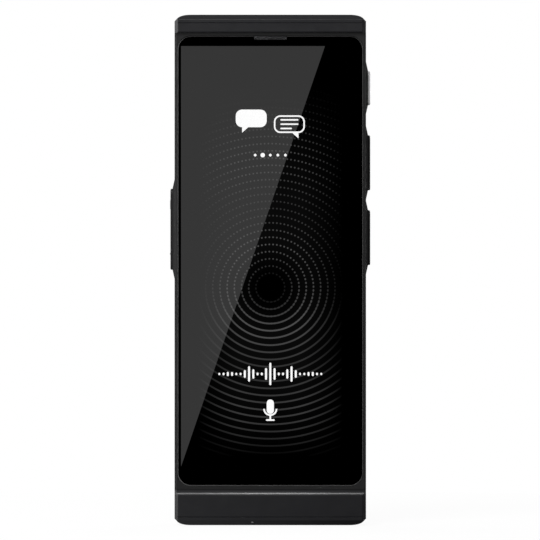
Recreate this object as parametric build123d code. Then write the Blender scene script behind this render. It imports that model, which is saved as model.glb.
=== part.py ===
from build123d import *
from math import radians, sin
import os

# Handheld pocket translator, standing upright.
# X runs across the body, Y from the screen (front, -Y) to the back cover (+Y), Z up.
# The origin is the centre of the bottom of the body. All sizes are in millimetres.

# ---------------------------------------------------------------- body
body_width = 53.2
body_height = 141.8
body_depth = 13.0
bottom_cap_height = 9.9
top_cap_height = 5.1
bottom_collar = 0.9
top_collar = 0.1
side_wall = 1.5
end_wall = 1.2
cap_wall = 1.4
cap_proud = 0.5
fit_gap = 0.1
pick = 0.01

front_bevel_across = 0.95
front_bevel_deep = 1.2
bevel_round = 0.25
back_radius = 2.2
end_bevel_front = 1.35
end_bevel_back = 1.6
end_bevel_deep = 0.95
end_round = 0.3
lip_share = 0.94
corner_chamfer_start = 1.83
corner_chamfer = 0.85
corner_sweep = 4.8
end_groove_height = 2.3
end_groove_width = 0.24
end_groove_depth = 0.2
spigot_length = 1.0

# ---------------------------------------------------------------- glass and display
glass_side_lip = 0.8
glass_gap_bottom = 1.0
glass_gap_top = 0.8
glass_thickness = 1.0
glass_corner = 3.75
glass_chamfer = 0.25
ink_thickness = 0.05
tape_thickness = 0.15
panel_side_inset = 0.8
panel_bottom_inset = 2.5
panel_top_inset = 2.3
panel_thickness = 1.9
panel_corner = 0.6
active_side_margin = 0.2
active_bottom_margin = 2.8
active_top_margin = 0.5
foam_thickness = 0.1
foam_width = 2.0
plate_thickness = 0.5
shelf_thickness = 0.8
shelf_width = 1.5

# ---------------------------------------------------------------- earpiece
notch_width = 9.3
notch_height = 1.15
notch_corner = 0.5
mesh_thickness = 0.3
mesh_depth_below_glass = 0.25
ear_slot_width = 8.0
ear_slot_height = 1.1
ear_slot_rise = 0.5
receiver_width = 12.0
receiver_height = 6.0
receiver_depth = 2.0
receiver_corner = 1.0
receiver_port_depth = 0.7

# ---------------------------------------------------------------- back cover
cover_thickness = 1.4
cover_lip_thickness = 0.8
cover_lip_reach = 1.0
cover_tape_width = 0.8
cover_tape_thickness = 0.2

# ---------------------------------------------------------------- side keys
key_side_gap = 0.175
key_corner = 1.2
key_edge_round = 0.35
key_flange_overhang = 0.6
key_flange_thickness = 0.6
key_flange_gap = 0.05
key_travel = 0.35
island_proud = 0.6
key_proud = 1.24
island_base_margin = 1.5
island_top_margin = 0.9
ramp_length = 2.7
power_drop = 15.15
power_length = 9.4
talk_upper_drop = 35.95
talk_length = 15.3
talk_lower_drop = 56.8
plunger_radius = 0.8
plunger_length = 0.45
rocker_drop = 54.46
rocker_length = 22.6
rocker_proud = 1.22
rocker_end_gap = 0.25
rocker_flange_gap = 0.45
rocker_press_offset = 6.85
rocker_swing = 1.8
sign_size = 2.5
sign_stroke = 0.5
sign_proud = 0.1
switch_gap = 0.05
switch_tip_radius = 0.7
switch_tip_height = 0.2
switch_thickness = 0.4
switch_length = 3.2
switch_width = 2.6
key_flex_thickness = 0.1
key_flex_width = 3.0
key_flex_tail = 3.8
key_flex_tail_height = 1.8
bracket_thickness = 0.4
bracket_width = 3.6
bracket_foot = 1.6
bracket_foot_width = 1.2
bracket_end = 0.5
tail_gap = 0.6
fulcrum_radius = 0.4

# ---------------------------------------------------------------- main board
standoff_height = 1.05
standoff_radius = 1.5
board_thickness = 0.8
board_top_drop = 7.9
board_height = 25.3
board_side_gap = 0.3
board_key_gap = 0.4
screw_head_radius = 1.2
screw_head_height = 0.6
screw_radius = 0.7
screw_length = 2.0
screw_gap = 0.02
screw_slot = 0.3
screw_hole_radius = 0.85
left_screw_inset = 3.3
left_screw_drop = 2.5
middle_screw_x = -4.0
middle_screw_rise = 2.1
right_screw_inset = 2.1
right_screw_rise = 13.1
shield_wall = 0.2
shield_height = 2.0
shield_side_gap = 1.2
shield_camera_gap = 7.5
processor_shield_rise = 5.5
processor_shield_length = 10.3
shield_gap = 0.8
radio_shield_length = 8.2
chip_height = 0.9
processor_size = 9.0
memory_size = 7.0
radio_size = 6.0
connector_height = 0.9
connector_depth = 2.4
battery_connector_x = -12.0
link_width = 6.0
link_speaker_gap = 1.0
connector_length = 7.0
connector_bottom_gap = 0.6

# ---------------------------------------------------------------- SIM tray
sim_gap = 1.0
sim_face_length = 15.6
sim_face_width = 2.4
sim_face_depth = 1.2
sim_tongue_width = 12.4
sim_tongue_length = 15.2
sim_tongue_thickness = 0.8
sim_card_length = 12.3
sim_card_width = 8.8
sim_card_thickness = 0.67
sim_pocket_gap = 0.1
sim_pocket_end_wall = 1.2
sim_pin_radius = 0.5
sim_pin_offset = 6.4
sim_shell_wall = 0.2
sim_shell_height = 2.1
sim_shell_clearance = 0.3

# ---------------------------------------------------------------- camera and flash
camera_side_offset = 10.6
camera_drop = 13.2
flash_drop = 10.0
camera_size = 8.5
camera_base_depth = 4.0
camera_tube_wall = 0.75
camera_tube_length = 1.4
lens_radius = 3.0
lens_length = 2.4
lens_proud = 0.4
lens_bore_gap = 0.05
lens_bowl_radius = 2.2
lens_bowl_depth = 0.5
window_width = 10.0
window_thickness = 0.9
trim_width = 0.75
trim_gap = 0.05
trim_shelf_width = 0.7
trim_shelf_thickness = 0.4
flash_size = 3.4
flash_height = 0.7
light_guide_radius = 1.6

# ---------------------------------------------------------------- battery
battery_side_gap = 1.5
battery_bottom_gap = 1.0
battery_top_gap = 5.5
battery_back_gap = 1.05
battery_corner = 1.5
battery_edge_round = 1.2
adhesive_thickness = 0.1
adhesive_inset = 3.0
protection_width = 30.0
protection_height = 3.0
protection_thickness = 1.0
protection_rise = 1.2
ribbon_thickness = 0.12
ribbon_bend = 0.4
battery_ribbon_width = 6.0

# ---------------------------------------------------------------- lower board and socket
sub_board_half_width = 13.0
sub_board_side_gap = 2.1
sub_board_wing_rise = 1.0
sub_board_bottom_gap = 0.5
sub_board_top_margin = 1.6
sub_board_y = 0.0
sub_screws_x = 10.5
sub_screws_gap = 0.2
port_outer_width = 8.94
port_outer_height = 3.16
port_shell_wall = 0.3
port_length = 7.35
port_recess = 0.4
port_back_wall = 0.6
port_leg_reach = 1.0
port_leg_inset = 0.4
tongue_width = 6.69
tongue_thickness = 0.7
tongue_setback = 0.9
link_lower_rise = 0.2
display_socket_drop = 0.4
display_ribbon_half_width = 7.0
display_ribbon_gap = 0.5
display_ribbon_inset = 0.4
display_fold_drop = 0.75
display_fold_floor = 0.3
mic_size = 3.0
mic_height = 1.0
mic_x = -9.0
mic_top_x = -12.0
mic_hole_x = -5.0
mic_hole_radius = 0.4

# ---------------------------------------------------------------- speaker and motor
speaker_coax_gap = 0.9
speaker_motor_gap = 4.0
speaker_bottom_gap = 0.8
speaker_height = 14.0
speaker_wall = 0.8
driver_width = 15.0
driver_height = 11.0
driver_depth = 3.5
driver_front_gap = 0.5
driver_cone_radius = 4.2
driver_cone_depth = 0.5
gasket_ring = 1.0
speaker_mesh_thickness = 0.15
grille_columns = 9
grille_rows = 3
grille_pitch = 1.5
grille_hole_radius = 0.5
motor_wall_gap = 5.6
motor_length = 8.0
motor_radius = 2.0
motor_lift = 0.85
motor_shaft_radius = 0.4
motor_shaft_gap = 0.05
weight_gap = 0.5
weight_length = 3.0
weight_radius = 2.3
weight_hub_radius = 0.9
boot_margin = 1.0

# ---------------------------------------------------------------- antennas and coax
antenna_thickness = 0.1
coax_radius = 0.35
coax_height = 0.5
coax_bend = 5.0
coax_slope_end = 20.0
coax_socket = 2.0
antenna_side_gap = 5.1
antenna_height = 5.0
upper_antenna_side_gap = 3.1
upper_antenna_camera_gap = 2.75
upper_antenna_drop = 5.7
upper_antenna_length = 19.0
antenna_slot = 14.0

# ---------------------------------------------------------------- cap screws
cap_screw_inset = 6.1
cap_boss_radius = 2.0
cap_screw_length = 4.0
cap_bore_extra = 0.5

# ---------------------------------------------------------------- derived planes
half_width = body_width / 2
front_y = -body_depth / 2
back_y = body_depth / 2
inner_x = half_width - side_wall
bottom_seam_z = bottom_cap_height
top_seam_z = body_height - top_cap_height
cavity_bottom_z = bottom_seam_z + end_wall
cavity_top_z = top_seam_z - end_wall
cover_seam_y = back_y - back_radius
cover_inner_y = back_y - cover_thickness

glass_front_y = front_y + cap_proud
glass_back_y = glass_front_y + glass_thickness
ink_back_y = glass_back_y + ink_thickness
ledge_y = ink_back_y + tape_thickness
panel_back_y = ink_back_y + panel_thickness
plate_front_y = panel_back_y + foam_thickness
plate_back_y = plate_front_y + plate_thickness
shelf_back_y = plate_back_y + shelf_thickness
glass_half_width = half_width - glass_side_lip
glass_bottom_z = bottom_seam_z + glass_gap_bottom
glass_top_z = top_seam_z - glass_gap_top
panel_half_width = glass_half_width - panel_side_inset
panel_bottom_z = glass_bottom_z + panel_bottom_inset
panel_top_z = glass_top_z - panel_top_inset

board_front_y = plate_back_y + standoff_height
board_back_y = board_front_y + board_thickness
board_top_z = top_seam_z - board_top_drop
board_bottom_z = board_top_z - board_height
board_connector_z = board_bottom_z + connector_bottom_gap
connector_back_y = board_back_y + connector_height
cap_screw_x = inner_x - cap_screw_inset
antenna_half_width = inner_x - antenna_side_gap

key_space = cover_seam_y - cover_lip_reach - plate_back_y
key_y = plate_back_y + key_space / 2
key_width = key_space - 2 * (key_flange_overhang + key_side_gap)
power_z = top_seam_z - power_drop
talk_upper_z = top_seam_z - talk_upper_drop
talk_lower_z = top_seam_z - talk_lower_drop
rocker_z = top_seam_z - rocker_drop
right_keys = [(power_z, power_length), (talk_upper_z, talk_length), (talk_lower_z, talk_length)]
key_flange_x = inner_x - key_flange_gap
key_inner_x = key_flange_x - key_flange_thickness
switch_tip_x = key_inner_x - plunger_length - key_travel - switch_gap
switch_face_x = switch_tip_x - switch_tip_height
switch_back_x = switch_face_x - switch_thickness
key_flex_x = switch_back_x - key_flex_thickness
bracket_x = key_flex_x - bracket_thickness
rocker_flange_x = inner_x - rocker_flange_gap
rocker_inner_x = rocker_flange_x - key_flange_thickness
board_right_x = bracket_x - board_key_gap
board_left_x = -(inner_x - board_side_gap)

camera_x = inner_x - camera_side_offset
camera_z = top_seam_z - camera_drop
flash_z = camera_z - flash_drop
window_z = (camera_z + flash_z) / 2
window_length = window_width + flash_drop
camera_base_y = plate_back_y + camera_base_depth
camera_tube_y = camera_base_y + camera_tube_length

tail_low_z = board_connector_z + connector_depth + tail_gap
tail_z = (tail_low_z, tail_low_z + key_flex_tail_height)
sim_y = board_back_y + sim_shell_height / 2
sim_shell_half = sim_tongue_width / 2 + sim_shell_clearance + sim_shell_wall
sim_z = tail_z[1] + sim_gap + sim_shell_half
sim_face_x = -half_width + sim_face_depth
sim_tongue_x = (sim_face_x, sim_face_x + sim_tongue_length)
sim_shell_right_x = sim_tongue_x[1] + sim_shell_clearance + sim_shell_wall
main_screws = [
    (board_left_x + left_screw_inset, board_top_z - left_screw_drop),
    (middle_screw_x, board_bottom_z + middle_screw_rise),
    (board_right_x - right_screw_inset, board_bottom_z + right_screw_rise),
]
shield_left_x = sim_shell_right_x + shield_side_gap
shield_right_x = camera_x - shield_camera_gap
processor_shield_low = board_bottom_z + processor_shield_rise
processor_shield_z = (processor_shield_low, processor_shield_low + processor_shield_length)
radio_shield_low = processor_shield_z[1] + shield_gap
radio_shield_z = (radio_shield_low, radio_shield_low + radio_shield_length)

sub_board_front_y = sub_board_y - board_thickness / 2
sub_board_back_y = sub_board_y + board_thickness / 2
sub_board_bottom_z = cap_wall + sub_board_bottom_gap
sub_board_wing_z = cavity_bottom_z + sub_board_wing_rise
sub_board_wing = inner_x - sub_board_side_gap
sub_screws_z = panel_bottom_z + shelf_width + standoff_radius + sub_screws_gap
sub_board_top_z = sub_screws_z + sub_board_top_margin
link_lower_z = sub_board_wing_z + link_lower_rise
link_lower_back_y = sub_board_back_y + connector_height
display_socket_z = panel_bottom_z - display_socket_drop

battery_half_width = bracket_x - battery_side_gap
battery_front_y = plate_back_y + adhesive_thickness
battery_back_y = cover_inner_y - battery_back_gap
coax_x = bracket_x - battery_side_gap / 2
coax_lower_z = sub_board_top_z - fit_gap
motor_right_x = inner_x - motor_wall_gap - weight_length - weight_gap
motor_left_x = motor_right_x - motor_length
motor_y = plate_back_y + motor_radius + motor_lift
speaker_left_x = -(coax_x - coax_radius - speaker_coax_gap)
speaker_right_x = motor_left_x - speaker_motor_gap
link_connector_x = speaker_right_x + link_speaker_gap + link_width / 2
speaker_bottom_z = sub_board_top_z + speaker_bottom_gap
speaker_top_z = speaker_bottom_z + speaker_height
speaker_x = (speaker_left_x + speaker_right_x) / 2
speaker_z = (speaker_bottom_z + speaker_top_z) / 2
motor_z = speaker_z
battery_bottom_z = speaker_top_z + battery_bottom_gap
battery_top_z = board_bottom_z - battery_top_gap


# ---------------------------------------------------------------- shape helpers
def block(x, y, z):
    """Box between pairs of limits."""
    centre = ((x[0] + x[1]) / 2, (y[0] + y[1]) / 2, (z[0] + z[1]) / 2)
    return Pos(*centre) * Box(x[1] - x[0], y[1] - y[0], z[1] - z[0])


def plate_xz(outline, y):
    """An outline in X and Z, extruded between two values of Y."""
    return extrude(Plane.XZ.offset(-y[0]) * outline, amount=y[1] - y[0], dir=(0, 1, 0))


def plate_yz(outline, x):
    """An outline in Y and Z, extruded between two values of X."""
    return extrude(Plane.YZ.offset(x[0]) * outline, amount=x[1] - x[0], dir=(1, 0, 0))


def plate_xy(outline, z):
    """An outline in X and Y, extruded between two values of Z."""
    return extrude(Plane.XY.offset(z[0]) * outline, amount=z[1] - z[0], dir=(0, 0, 1))


def rounded(a, b, corner):
    """Rounded rectangle between pairs of limits in its own plane."""
    shape = RectangleRounded(a[1] - a[0], b[1] - b[0], corner)
    return Pos((a[0] + a[1]) / 2, (b[0] + b[1]) / 2) * shape


def rod_x(y, z, radius, x):
    """Cylinder along X."""
    return Pos((x[0] + x[1]) / 2, y, z) * Rot(0, 90, 0) * Cylinder(radius, x[1] - x[0])


def rod_y(x, z, radius, y):
    """Cylinder along Y."""
    return Pos(x, (y[0] + y[1]) / 2, z) * Rot(90, 0, 0) * Cylinder(radius, y[1] - y[0])


def rod_z(x, y, radius, z):
    """Cylinder along Z."""
    return Pos(x, y, (z[0] + z[1]) / 2) * Cylinder(radius, z[1] - z[0])


def stadium_xz(x, z, width, length, y):
    """Upright pill in X and Z, extruded along Y."""
    outline = Pos(x, z) * Rot(0, 0, 90) * SlotOverall(length, width)
    return plate_xz(outline, y)


def ribbon(points, bend, x):
    """Flat ribbon that follows a bent line in Y and Z, between two values of X."""
    line = FilletPolyline(*points, radius=bend)
    return plate_yz(trace(line, ribbon_thickness), x)


def sizes(centre, size):
    """Limits of a span about its centre."""
    return (centre - size / 2, centre + size / 2)


# ---------------------------------------------------------------- outer shape
def body_section():
    """Section across the body: bevels at the front, round corners at the back."""
    bevel_x = half_width - front_bevel_across
    bevel_y = front_y + front_bevel_deep
    right = [(bevel_x, front_y), (half_width, bevel_y), (half_width, back_y)]
    left = [(-x, y) for x, y in reversed(right)]
    outline = Polygon(*right, *left, align=None)
    outline = fillet(outline.vertices().filter_by(lambda v: v.Y > 0), back_radius)
    front_limit = bevel_y + pick
    return fillet(outline.vertices().filter_by(lambda v: v.Y < front_limit), bevel_round)


def end_outline(height):
    """Front view of an end cap whose end is at zero: chamfered and swept corners."""
    inner = half_width - corner_chamfer
    low = corner_chamfer_start - corner_chamfer
    sweep_x = half_width - corner_sweep
    right = Line((half_width, height), (half_width, corner_chamfer_start))
    right += Line((half_width, corner_chamfer_start), (inner, low))
    right += Bezier((inner, low), (inner - low, 0), (sweep_x, 0))
    left = mirror(right, Plane.YZ)
    lines = right + left + Line((sweep_x, 0), (-sweep_x, 0))
    lines += Line((-half_width, height), (half_width, height))
    return make_face(lines)


def end_profile(height, lip_z):
    """Side view of an end cap: bevelled end, fine groove, rounded front lip and collar."""
    groove_low = end_groove_height - end_groove_width / 2
    groove_high = end_groove_height + end_groove_width / 2
    points = [
        (front_y + end_bevel_deep, 0),
        (front_y, end_bevel_front),
        (front_y, groove_low),
        (front_y + end_groove_depth, end_groove_height),
        (front_y, groove_high),
        (front_y, lip_z),
        (glass_front_y, lip_z),
        (glass_front_y, height),
        (back_y, height),
        (back_y, end_bevel_back),
        (back_y - end_bevel_back, 0),
    ]
    outline = Polygon(*points, align=None)
    lip = outline.vertices().filter_by(lambda v: v.X < front_y + pick and v.Y > lip_z - pick)
    outline = fillet(lip, lip_share * cap_proud)
    end_limit = max(end_bevel_front, end_bevel_back) + pick
    ends = outline.vertices().filter_by(lambda v: v.Y < end_limit)
    return fillet(ends, end_round)


def cap_shell(height, collar):
    """Hollow end cap with its end at zero, a recessed collar and its open side at height."""
    outer = plate_xz(end_outline(height), (front_y, back_y))
    outer &= plate_xy(body_section(), (0, height))
    outer &= plate_yz(end_profile(height, height - collar), (-half_width, half_width))
    hollow_y = (front_y + cap_wall, back_y - cap_wall)
    hollow = block((-inner_x, inner_x), hollow_y, (cap_wall, height))
    shell = outer - hollow
    boss_z = (cap_wall / 2, height - spigot_length - fit_gap)
    for side in (-1, 1):
        shell += rod_z(side * cap_screw_x, 0, cap_boss_radius, boss_z)
    bore_z = (height + end_wall - cap_screw_length - cap_bore_extra, height)
    for side in (-1, 1):
        shell -= rod_z(side * cap_screw_x, 0, screw_radius + screw_gap, bore_z)
    return shell


def port_outline(grow):
    """End view of the socket's oval shell, made larger by grow on every side."""
    width = port_outer_width + 2 * grow
    height = port_outer_height + 2 * grow
    return Pos(0, sub_board_y) * SlotOverall(width, height)


def lower_mic_bore():
    """Microphone hole that leans in through the front edge of the lower end."""
    start_y = front_y + end_bevel_deep / 2
    start_z = end_bevel_front / 2
    hole = Rot(-45, 0, 0) * Cylinder(mic_hole_radius, 4 * cap_wall)
    return Pos(mic_hole_x, start_y, start_z) * hole


def bottom_cap():
    """Lower end cap with the charging socket's opening and a microphone hole."""
    cap = cap_shell(bottom_cap_height, bottom_collar)
    cap -= plate_xy(port_outline(fit_gap), (-1, cap_wall + 1))
    return cap - lower_mic_bore()


def upper_mic_bore():
    """Straight microphone hole from the board up through the frame and the top cap."""
    mic_y = board_front_y - mic_height / 2
    return rod_z(mic_top_x, mic_y, mic_hole_radius, (panel_top_z - shelf_width, body_height))


def top_cap():
    """Upper end cap with a microphone hole in its end."""
    cap = mirror(cap_shell(top_cap_height, top_collar), Plane.XY)
    return Pos(0, 0, body_height) * cap - upper_mic_bore()


# ---------------------------------------------------------------- front frame
def island(z, length, proud, side):
    """Raised pad on the side wall that a key sits in, with a ramp at each end."""
    root_x = half_width - side_wall / 2
    top_x = half_width + proud
    low = z - length / 2
    high = z + length / 2
    front = Polygon(
        (root_x, low - ramp_length),
        (half_width, low - ramp_length),
        (top_x, low),
        (top_x, high),
        (half_width, high + ramp_length),
        (root_x, high + ramp_length),
        align=None,
    )
    base = key_width / 2 + island_base_margin
    top = key_width / 2 + island_top_margin
    across = Polygon(
        (root_x, key_y - base),
        (half_width, key_y - base),
        (top_x, key_y - top),
        (top_x, key_y + top),
        (half_width, key_y + base),
        (root_x, key_y + base),
        align=None,
    )
    pad = plate_xz(front, (key_y - base, key_y + base))
    pad &= plate_xy(across, (low - ramp_length, high + ramp_length))
    if side < 0:
        pad = mirror(pad, Plane.YZ)
    return pad


def key_prism(z, length, grow_y, grow_z, x):
    """Rounded bar with a key's outline, made larger by the two growths."""
    across = sizes(key_y, key_width + 2 * grow_y)
    along = sizes(z, length + 2 * grow_z)
    return plate_yz(rounded(across, along, key_corner), x)


def rocker_prism(grow_y, grow_z, x):
    """The volume rocker's outline as a bar on the left side."""
    return mirror(key_prism(rocker_z, rocker_length, grow_y, grow_z, x), Plane.YZ)


def sim_face(grow, x):
    """The SIM tray's oval face, made larger by grow on every side."""
    oval = SlotOverall(sim_face_length + 2 * grow, sim_face_width + 2 * grow)
    return plate_yz(Pos(sim_y, sim_z) * Rot(0, 0, 90) * oval, x)


def glass_outline(grow):
    """Front view of the cover glass, made larger by grow on every side."""
    across = (-glass_half_width - grow, glass_half_width + grow)
    return rounded(across, (glass_bottom_z - grow, glass_top_z + grow), glass_corner + grow)


def panel_outline(grow):
    """Front view of the display panel, made larger by grow on every side."""
    across = (-panel_half_width - grow, panel_half_width + grow)
    return rounded(across, (panel_bottom_z - grow, panel_top_z + grow), panel_corner + grow)


def ear_slot_z():
    """Height limits of the sound slot behind the notch in the glass."""
    low = panel_top_z + fit_gap + ear_slot_rise
    return (low, low + ear_slot_height)


def spigot(z, window):
    """Locating rim on an end of the frame that enters a cap."""
    across = (-inner_x + fit_gap, inner_x - fit_gap)
    deep = (front_y + cap_wall + fit_gap, cover_seam_y - fit_gap)
    rim = block(across, deep, z)
    return rim - block((-window, window), (shelf_back_y, cover_seam_y), z)


def shelf_gaps():
    """Clear strips in the shelf where the side keys need room."""
    x = (inner_x - shelf_width, inner_x)
    y = (plate_back_y, shelf_back_y)
    right_z = (talk_lower_z - talk_length / 2 - ramp_length, power_z + power_length / 2 + ramp_length)
    left_z = sizes(rocker_z, rocker_length + 2 * ramp_length)
    return block(x, y, right_z) + block((-x[1], -x[0]), y, left_z)


def front_frame():
    """Middle frame: carries the glass in front, the boards inside and the side keys."""
    frame = plate_xy(body_section(), (bottom_seam_z, top_seam_z))
    depth = (glass_front_y, cover_seam_y)
    frame &= block((-half_width, half_width), depth, (bottom_seam_z, top_seam_z))
    window = sub_board_half_width + fit_gap
    frame += spigot((bottom_seam_z - spigot_length, bottom_seam_z), window)
    frame += spigot((top_seam_z, top_seam_z + spigot_length), window)
    for z, length in right_keys:
        frame += island(z, length, island_proud, 1)
    frame += island(rocker_z, rocker_length, island_proud, -1)

    frame -= plate_xz(glass_outline(fit_gap), (glass_front_y, ledge_y))
    frame -= plate_xz(panel_outline(fit_gap), (ledge_y, plate_back_y))
    shelf_x = inner_x - shelf_width
    shelf_z = (panel_bottom_z + shelf_width, panel_top_z - shelf_width)
    frame -= block((-shelf_x, shelf_x), (plate_back_y, shelf_back_y), shelf_z)
    frame -= shelf_gaps()
    cavity_y = (shelf_back_y, cover_seam_y)
    frame -= block((-inner_x, inner_x), cavity_y, (cavity_bottom_z, cavity_top_z))
    window_y = (shelf_back_y, cover_seam_y - side_wall)
    frame -= block((-window, window), window_y, (bottom_seam_z, cavity_bottom_z))

    fold = display_ribbon_half_width + display_ribbon_gap
    fold_z = (cavity_bottom_z + display_fold_floor, panel_bottom_z + shelf_width)
    frame -= block((-fold, fold), (ink_back_y + panel_thickness / 2, shelf_back_y), fold_z)
    frame -= block(sizes(0, ear_slot_width), (ledge_y, shelf_back_y), ear_slot_z())

    wall_x = (inner_x - 1, half_width + 1)
    for z, length in right_keys:
        frame -= key_prism(z, length, fit_gap, fit_gap, wall_x)
    frame -= rocker_prism(fit_gap, rocker_end_gap, wall_x)
    frame -= sim_face(fit_gap, (-wall_x[1], -wall_x[0]))

    frame -= back_cover_tape()
    frame -= upper_mic_bore()
    for side in (-1, 1):
        for z in (bottom_seam_z, top_seam_z):
            hole_z = sizes(z, 2 * (end_wall + spigot_length))
            frame -= rod_z(side * cap_screw_x, 0, screw_hole_radius, hole_z)
    return frame


def back_cover_tape():
    """Adhesive ring in a rebate of the frame, under the back cover's rim."""
    y = (cover_seam_y - cover_tape_thickness, cover_seam_y)
    outer_x = inner_x + cover_tape_width
    outer = (cavity_bottom_z - cover_tape_width, cavity_top_z + cover_tape_width)
    ring = block((-outer_x, outer_x), y, outer)
    return ring - block((-inner_x, inner_x), y, (cavity_bottom_z, cavity_top_z))


# ---------------------------------------------------------------- back cover
def grille_points():
    """Centres of the speaker grille's holes."""
    for row in range(grille_rows):
        for column in range(grille_columns):
            x = speaker_x + (column - (grille_columns - 1) / 2) * grille_pitch
            yield (x, speaker_z + (row - (grille_rows - 1) / 2) * grille_pitch)


def back_cover():
    """Rear shell with a locating lip, the camera opening and the speaker grille."""
    z = (bottom_seam_z, top_seam_z)
    cover = plate_xy(body_section(), z)
    cover &= block((-half_width, half_width), (cover_seam_y, back_y), z)
    hollow_y = (cover_seam_y, cover_inner_y)
    cover -= block((-inner_x, inner_x), hollow_y, (cavity_bottom_z, cavity_top_z))
    lip_x = inner_x - fit_gap
    lip_z = (cavity_bottom_z + fit_gap, cavity_top_z - fit_gap)
    lip_y = (cover_seam_y - cover_lip_reach, cover_inner_y)
    lip = block((-lip_x, lip_x), lip_y, lip_z)
    hollow_x = lip_x - cover_lip_thickness
    hollow_z = (lip_z[0] + cover_lip_thickness, lip_z[1] - cover_lip_thickness)
    cover += lip - block((-hollow_x, hollow_x), lip_y, hollow_z)
    hole_width = window_width + 2 * (trim_width + trim_gap)
    hole_length = window_length + 2 * (trim_width + trim_gap)
    cover -= stadium_xz(camera_x, window_z, hole_width, hole_length, (cover_inner_y, back_y))
    for x, z in grille_points():
        cover -= rod_y(x, z, grille_hole_radius, (cover_inner_y, back_y))
    return cover


# ---------------------------------------------------------------- glass and display
def cover_glass():
    """Front glass with a ground edge and the earpiece notch in its upper side."""
    glass = plate_xz(glass_outline(0), (glass_front_y, glass_back_y))
    glass = chamfer(glass.faces().sort_by(Axis.Y)[0].edges(), glass_chamfer)
    return glass - notch_prism(0, (glass_front_y, glass_back_y))


def notch_prism(shrink, y):
    """The earpiece notch as a bar, made smaller by shrink on every side."""
    across = sizes(0, notch_width - 2 * shrink)
    up = (glass_top_z - notch_height + shrink, glass_top_z + notch_height)
    outline = rounded(across, up, notch_corner)
    limit = Pos(0, glass_top_z - notch_height) * Rectangle(notch_width, 2 * (notch_height - shrink))
    return plate_xz(outline & limit, y)


def glass_ink_border():
    """Black print on the back of the glass, around the lit area."""
    y = (glass_back_y, ink_back_y)
    border = plate_xz(glass_outline(0), y) - notch_prism(0, y)
    lit_x = panel_half_width - active_side_margin
    lit_z = (panel_bottom_z + active_bottom_margin, panel_top_z - active_top_margin)
    return border - block((-lit_x, lit_x), y, lit_z)


def glass_tape():
    """Adhesive ring between the glass and the frame's ledge."""
    y = (ink_back_y, ledge_y)
    ring = plate_xz(glass_outline(0), y) - plate_xz(panel_outline(fit_gap), y)
    return ring - block(sizes(0, notch_width), y, (panel_top_z, glass_top_z))


def display_panel():
    """Liquid crystal panel with its backlight."""
    return plate_xz(panel_outline(0), (ink_back_y, panel_back_y))


def display_foam():
    """Foam frame between the panel and the mid plate."""
    y = (panel_back_y, plate_front_y)
    x = panel_half_width - foam_width
    z = (panel_bottom_z + foam_width, panel_top_z - foam_width)
    return plate_xz(panel_outline(0), y) - block((-x, x), y, z)


def display_ribbon():
    """Ribbon that folds round the mid plate's lower edge to the lower board."""
    panel_y = panel_back_y - display_ribbon_inset
    fold_z = panel_bottom_z - display_fold_drop
    rear_y = sub_board_front_y - connector_height - ribbon_thickness / 2
    end_z = display_socket_z + connector_depth
    points = [(panel_y, panel_bottom_z), (panel_y, fold_z), (rear_y, fold_z), (rear_y, end_z)]
    x = (-display_ribbon_half_width, display_ribbon_half_width)
    return ribbon(points, ribbon_bend, x)


def mid_plate():
    """Steel plate behind the display that carries the boards on standoffs."""
    plate = plate_xz(panel_outline(0), (plate_front_y, plate_back_y))
    bore = screw_radius + screw_gap
    for x, z in main_screws:
        plate += rod_y(x, z, standoff_radius, (plate_back_y, board_front_y))
        plate -= rod_y(x, z, bore, (board_back_y - screw_length, board_front_y))
    for side in (-1, 1):
        x = side * sub_screws_x
        plate += rod_y(x, sub_screws_z, standoff_radius, (plate_back_y, sub_board_front_y))
        plate -= rod_y(x, sub_screws_z, bore, (sub_board_back_y - screw_length, sub_board_front_y))
    return plate


# ---------------------------------------------------------------- earpiece
def earpiece_mesh():
    """Fine mesh that closes the notch in the glass."""
    y = glass_front_y + mesh_depth_below_glass
    return notch_prism(fit_gap / 2, (y, y + mesh_thickness))


def earpiece_receiver():
    """Small loudspeaker behind the earpiece slot."""
    top = ear_slot_z()[1]
    y = (shelf_back_y, shelf_back_y + receiver_depth)
    body = plate_xz(rounded(sizes(0, receiver_width), (top - receiver_height, top), receiver_corner), y)
    port = block(sizes(0, ear_slot_width), (y[0], y[0] + receiver_port_depth), ear_slot_z())
    return body - port


# ---------------------------------------------------------------- side keys
def key_button(z, length):
    """Push key: a rounded head, a flange that keeps it in and a plunger."""
    head = key_prism(z, length, 0, 0, (key_inner_x, half_width + key_proud))
    outer_edges = head.faces().sort_by(Axis.X)[-1].edges()
    head = fillet(outer_edges, key_edge_round)
    flange = key_prism(z, length, key_flange_overhang, key_flange_overhang, (key_inner_x, key_flange_x))
    return head + flange + rod_x(key_y, z, plunger_radius, (key_inner_x - plunger_length, key_inner_x))


def power_button():
    """Power key, at the top of the right side."""
    return key_button(power_z, power_length)


def talk_button_upper():
    """Upper talk key, in the middle of the right side."""
    return key_button(talk_upper_z, talk_length)


def talk_button_lower():
    """Lower talk key, below the upper one."""
    return key_button(talk_lower_z, talk_length)


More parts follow.
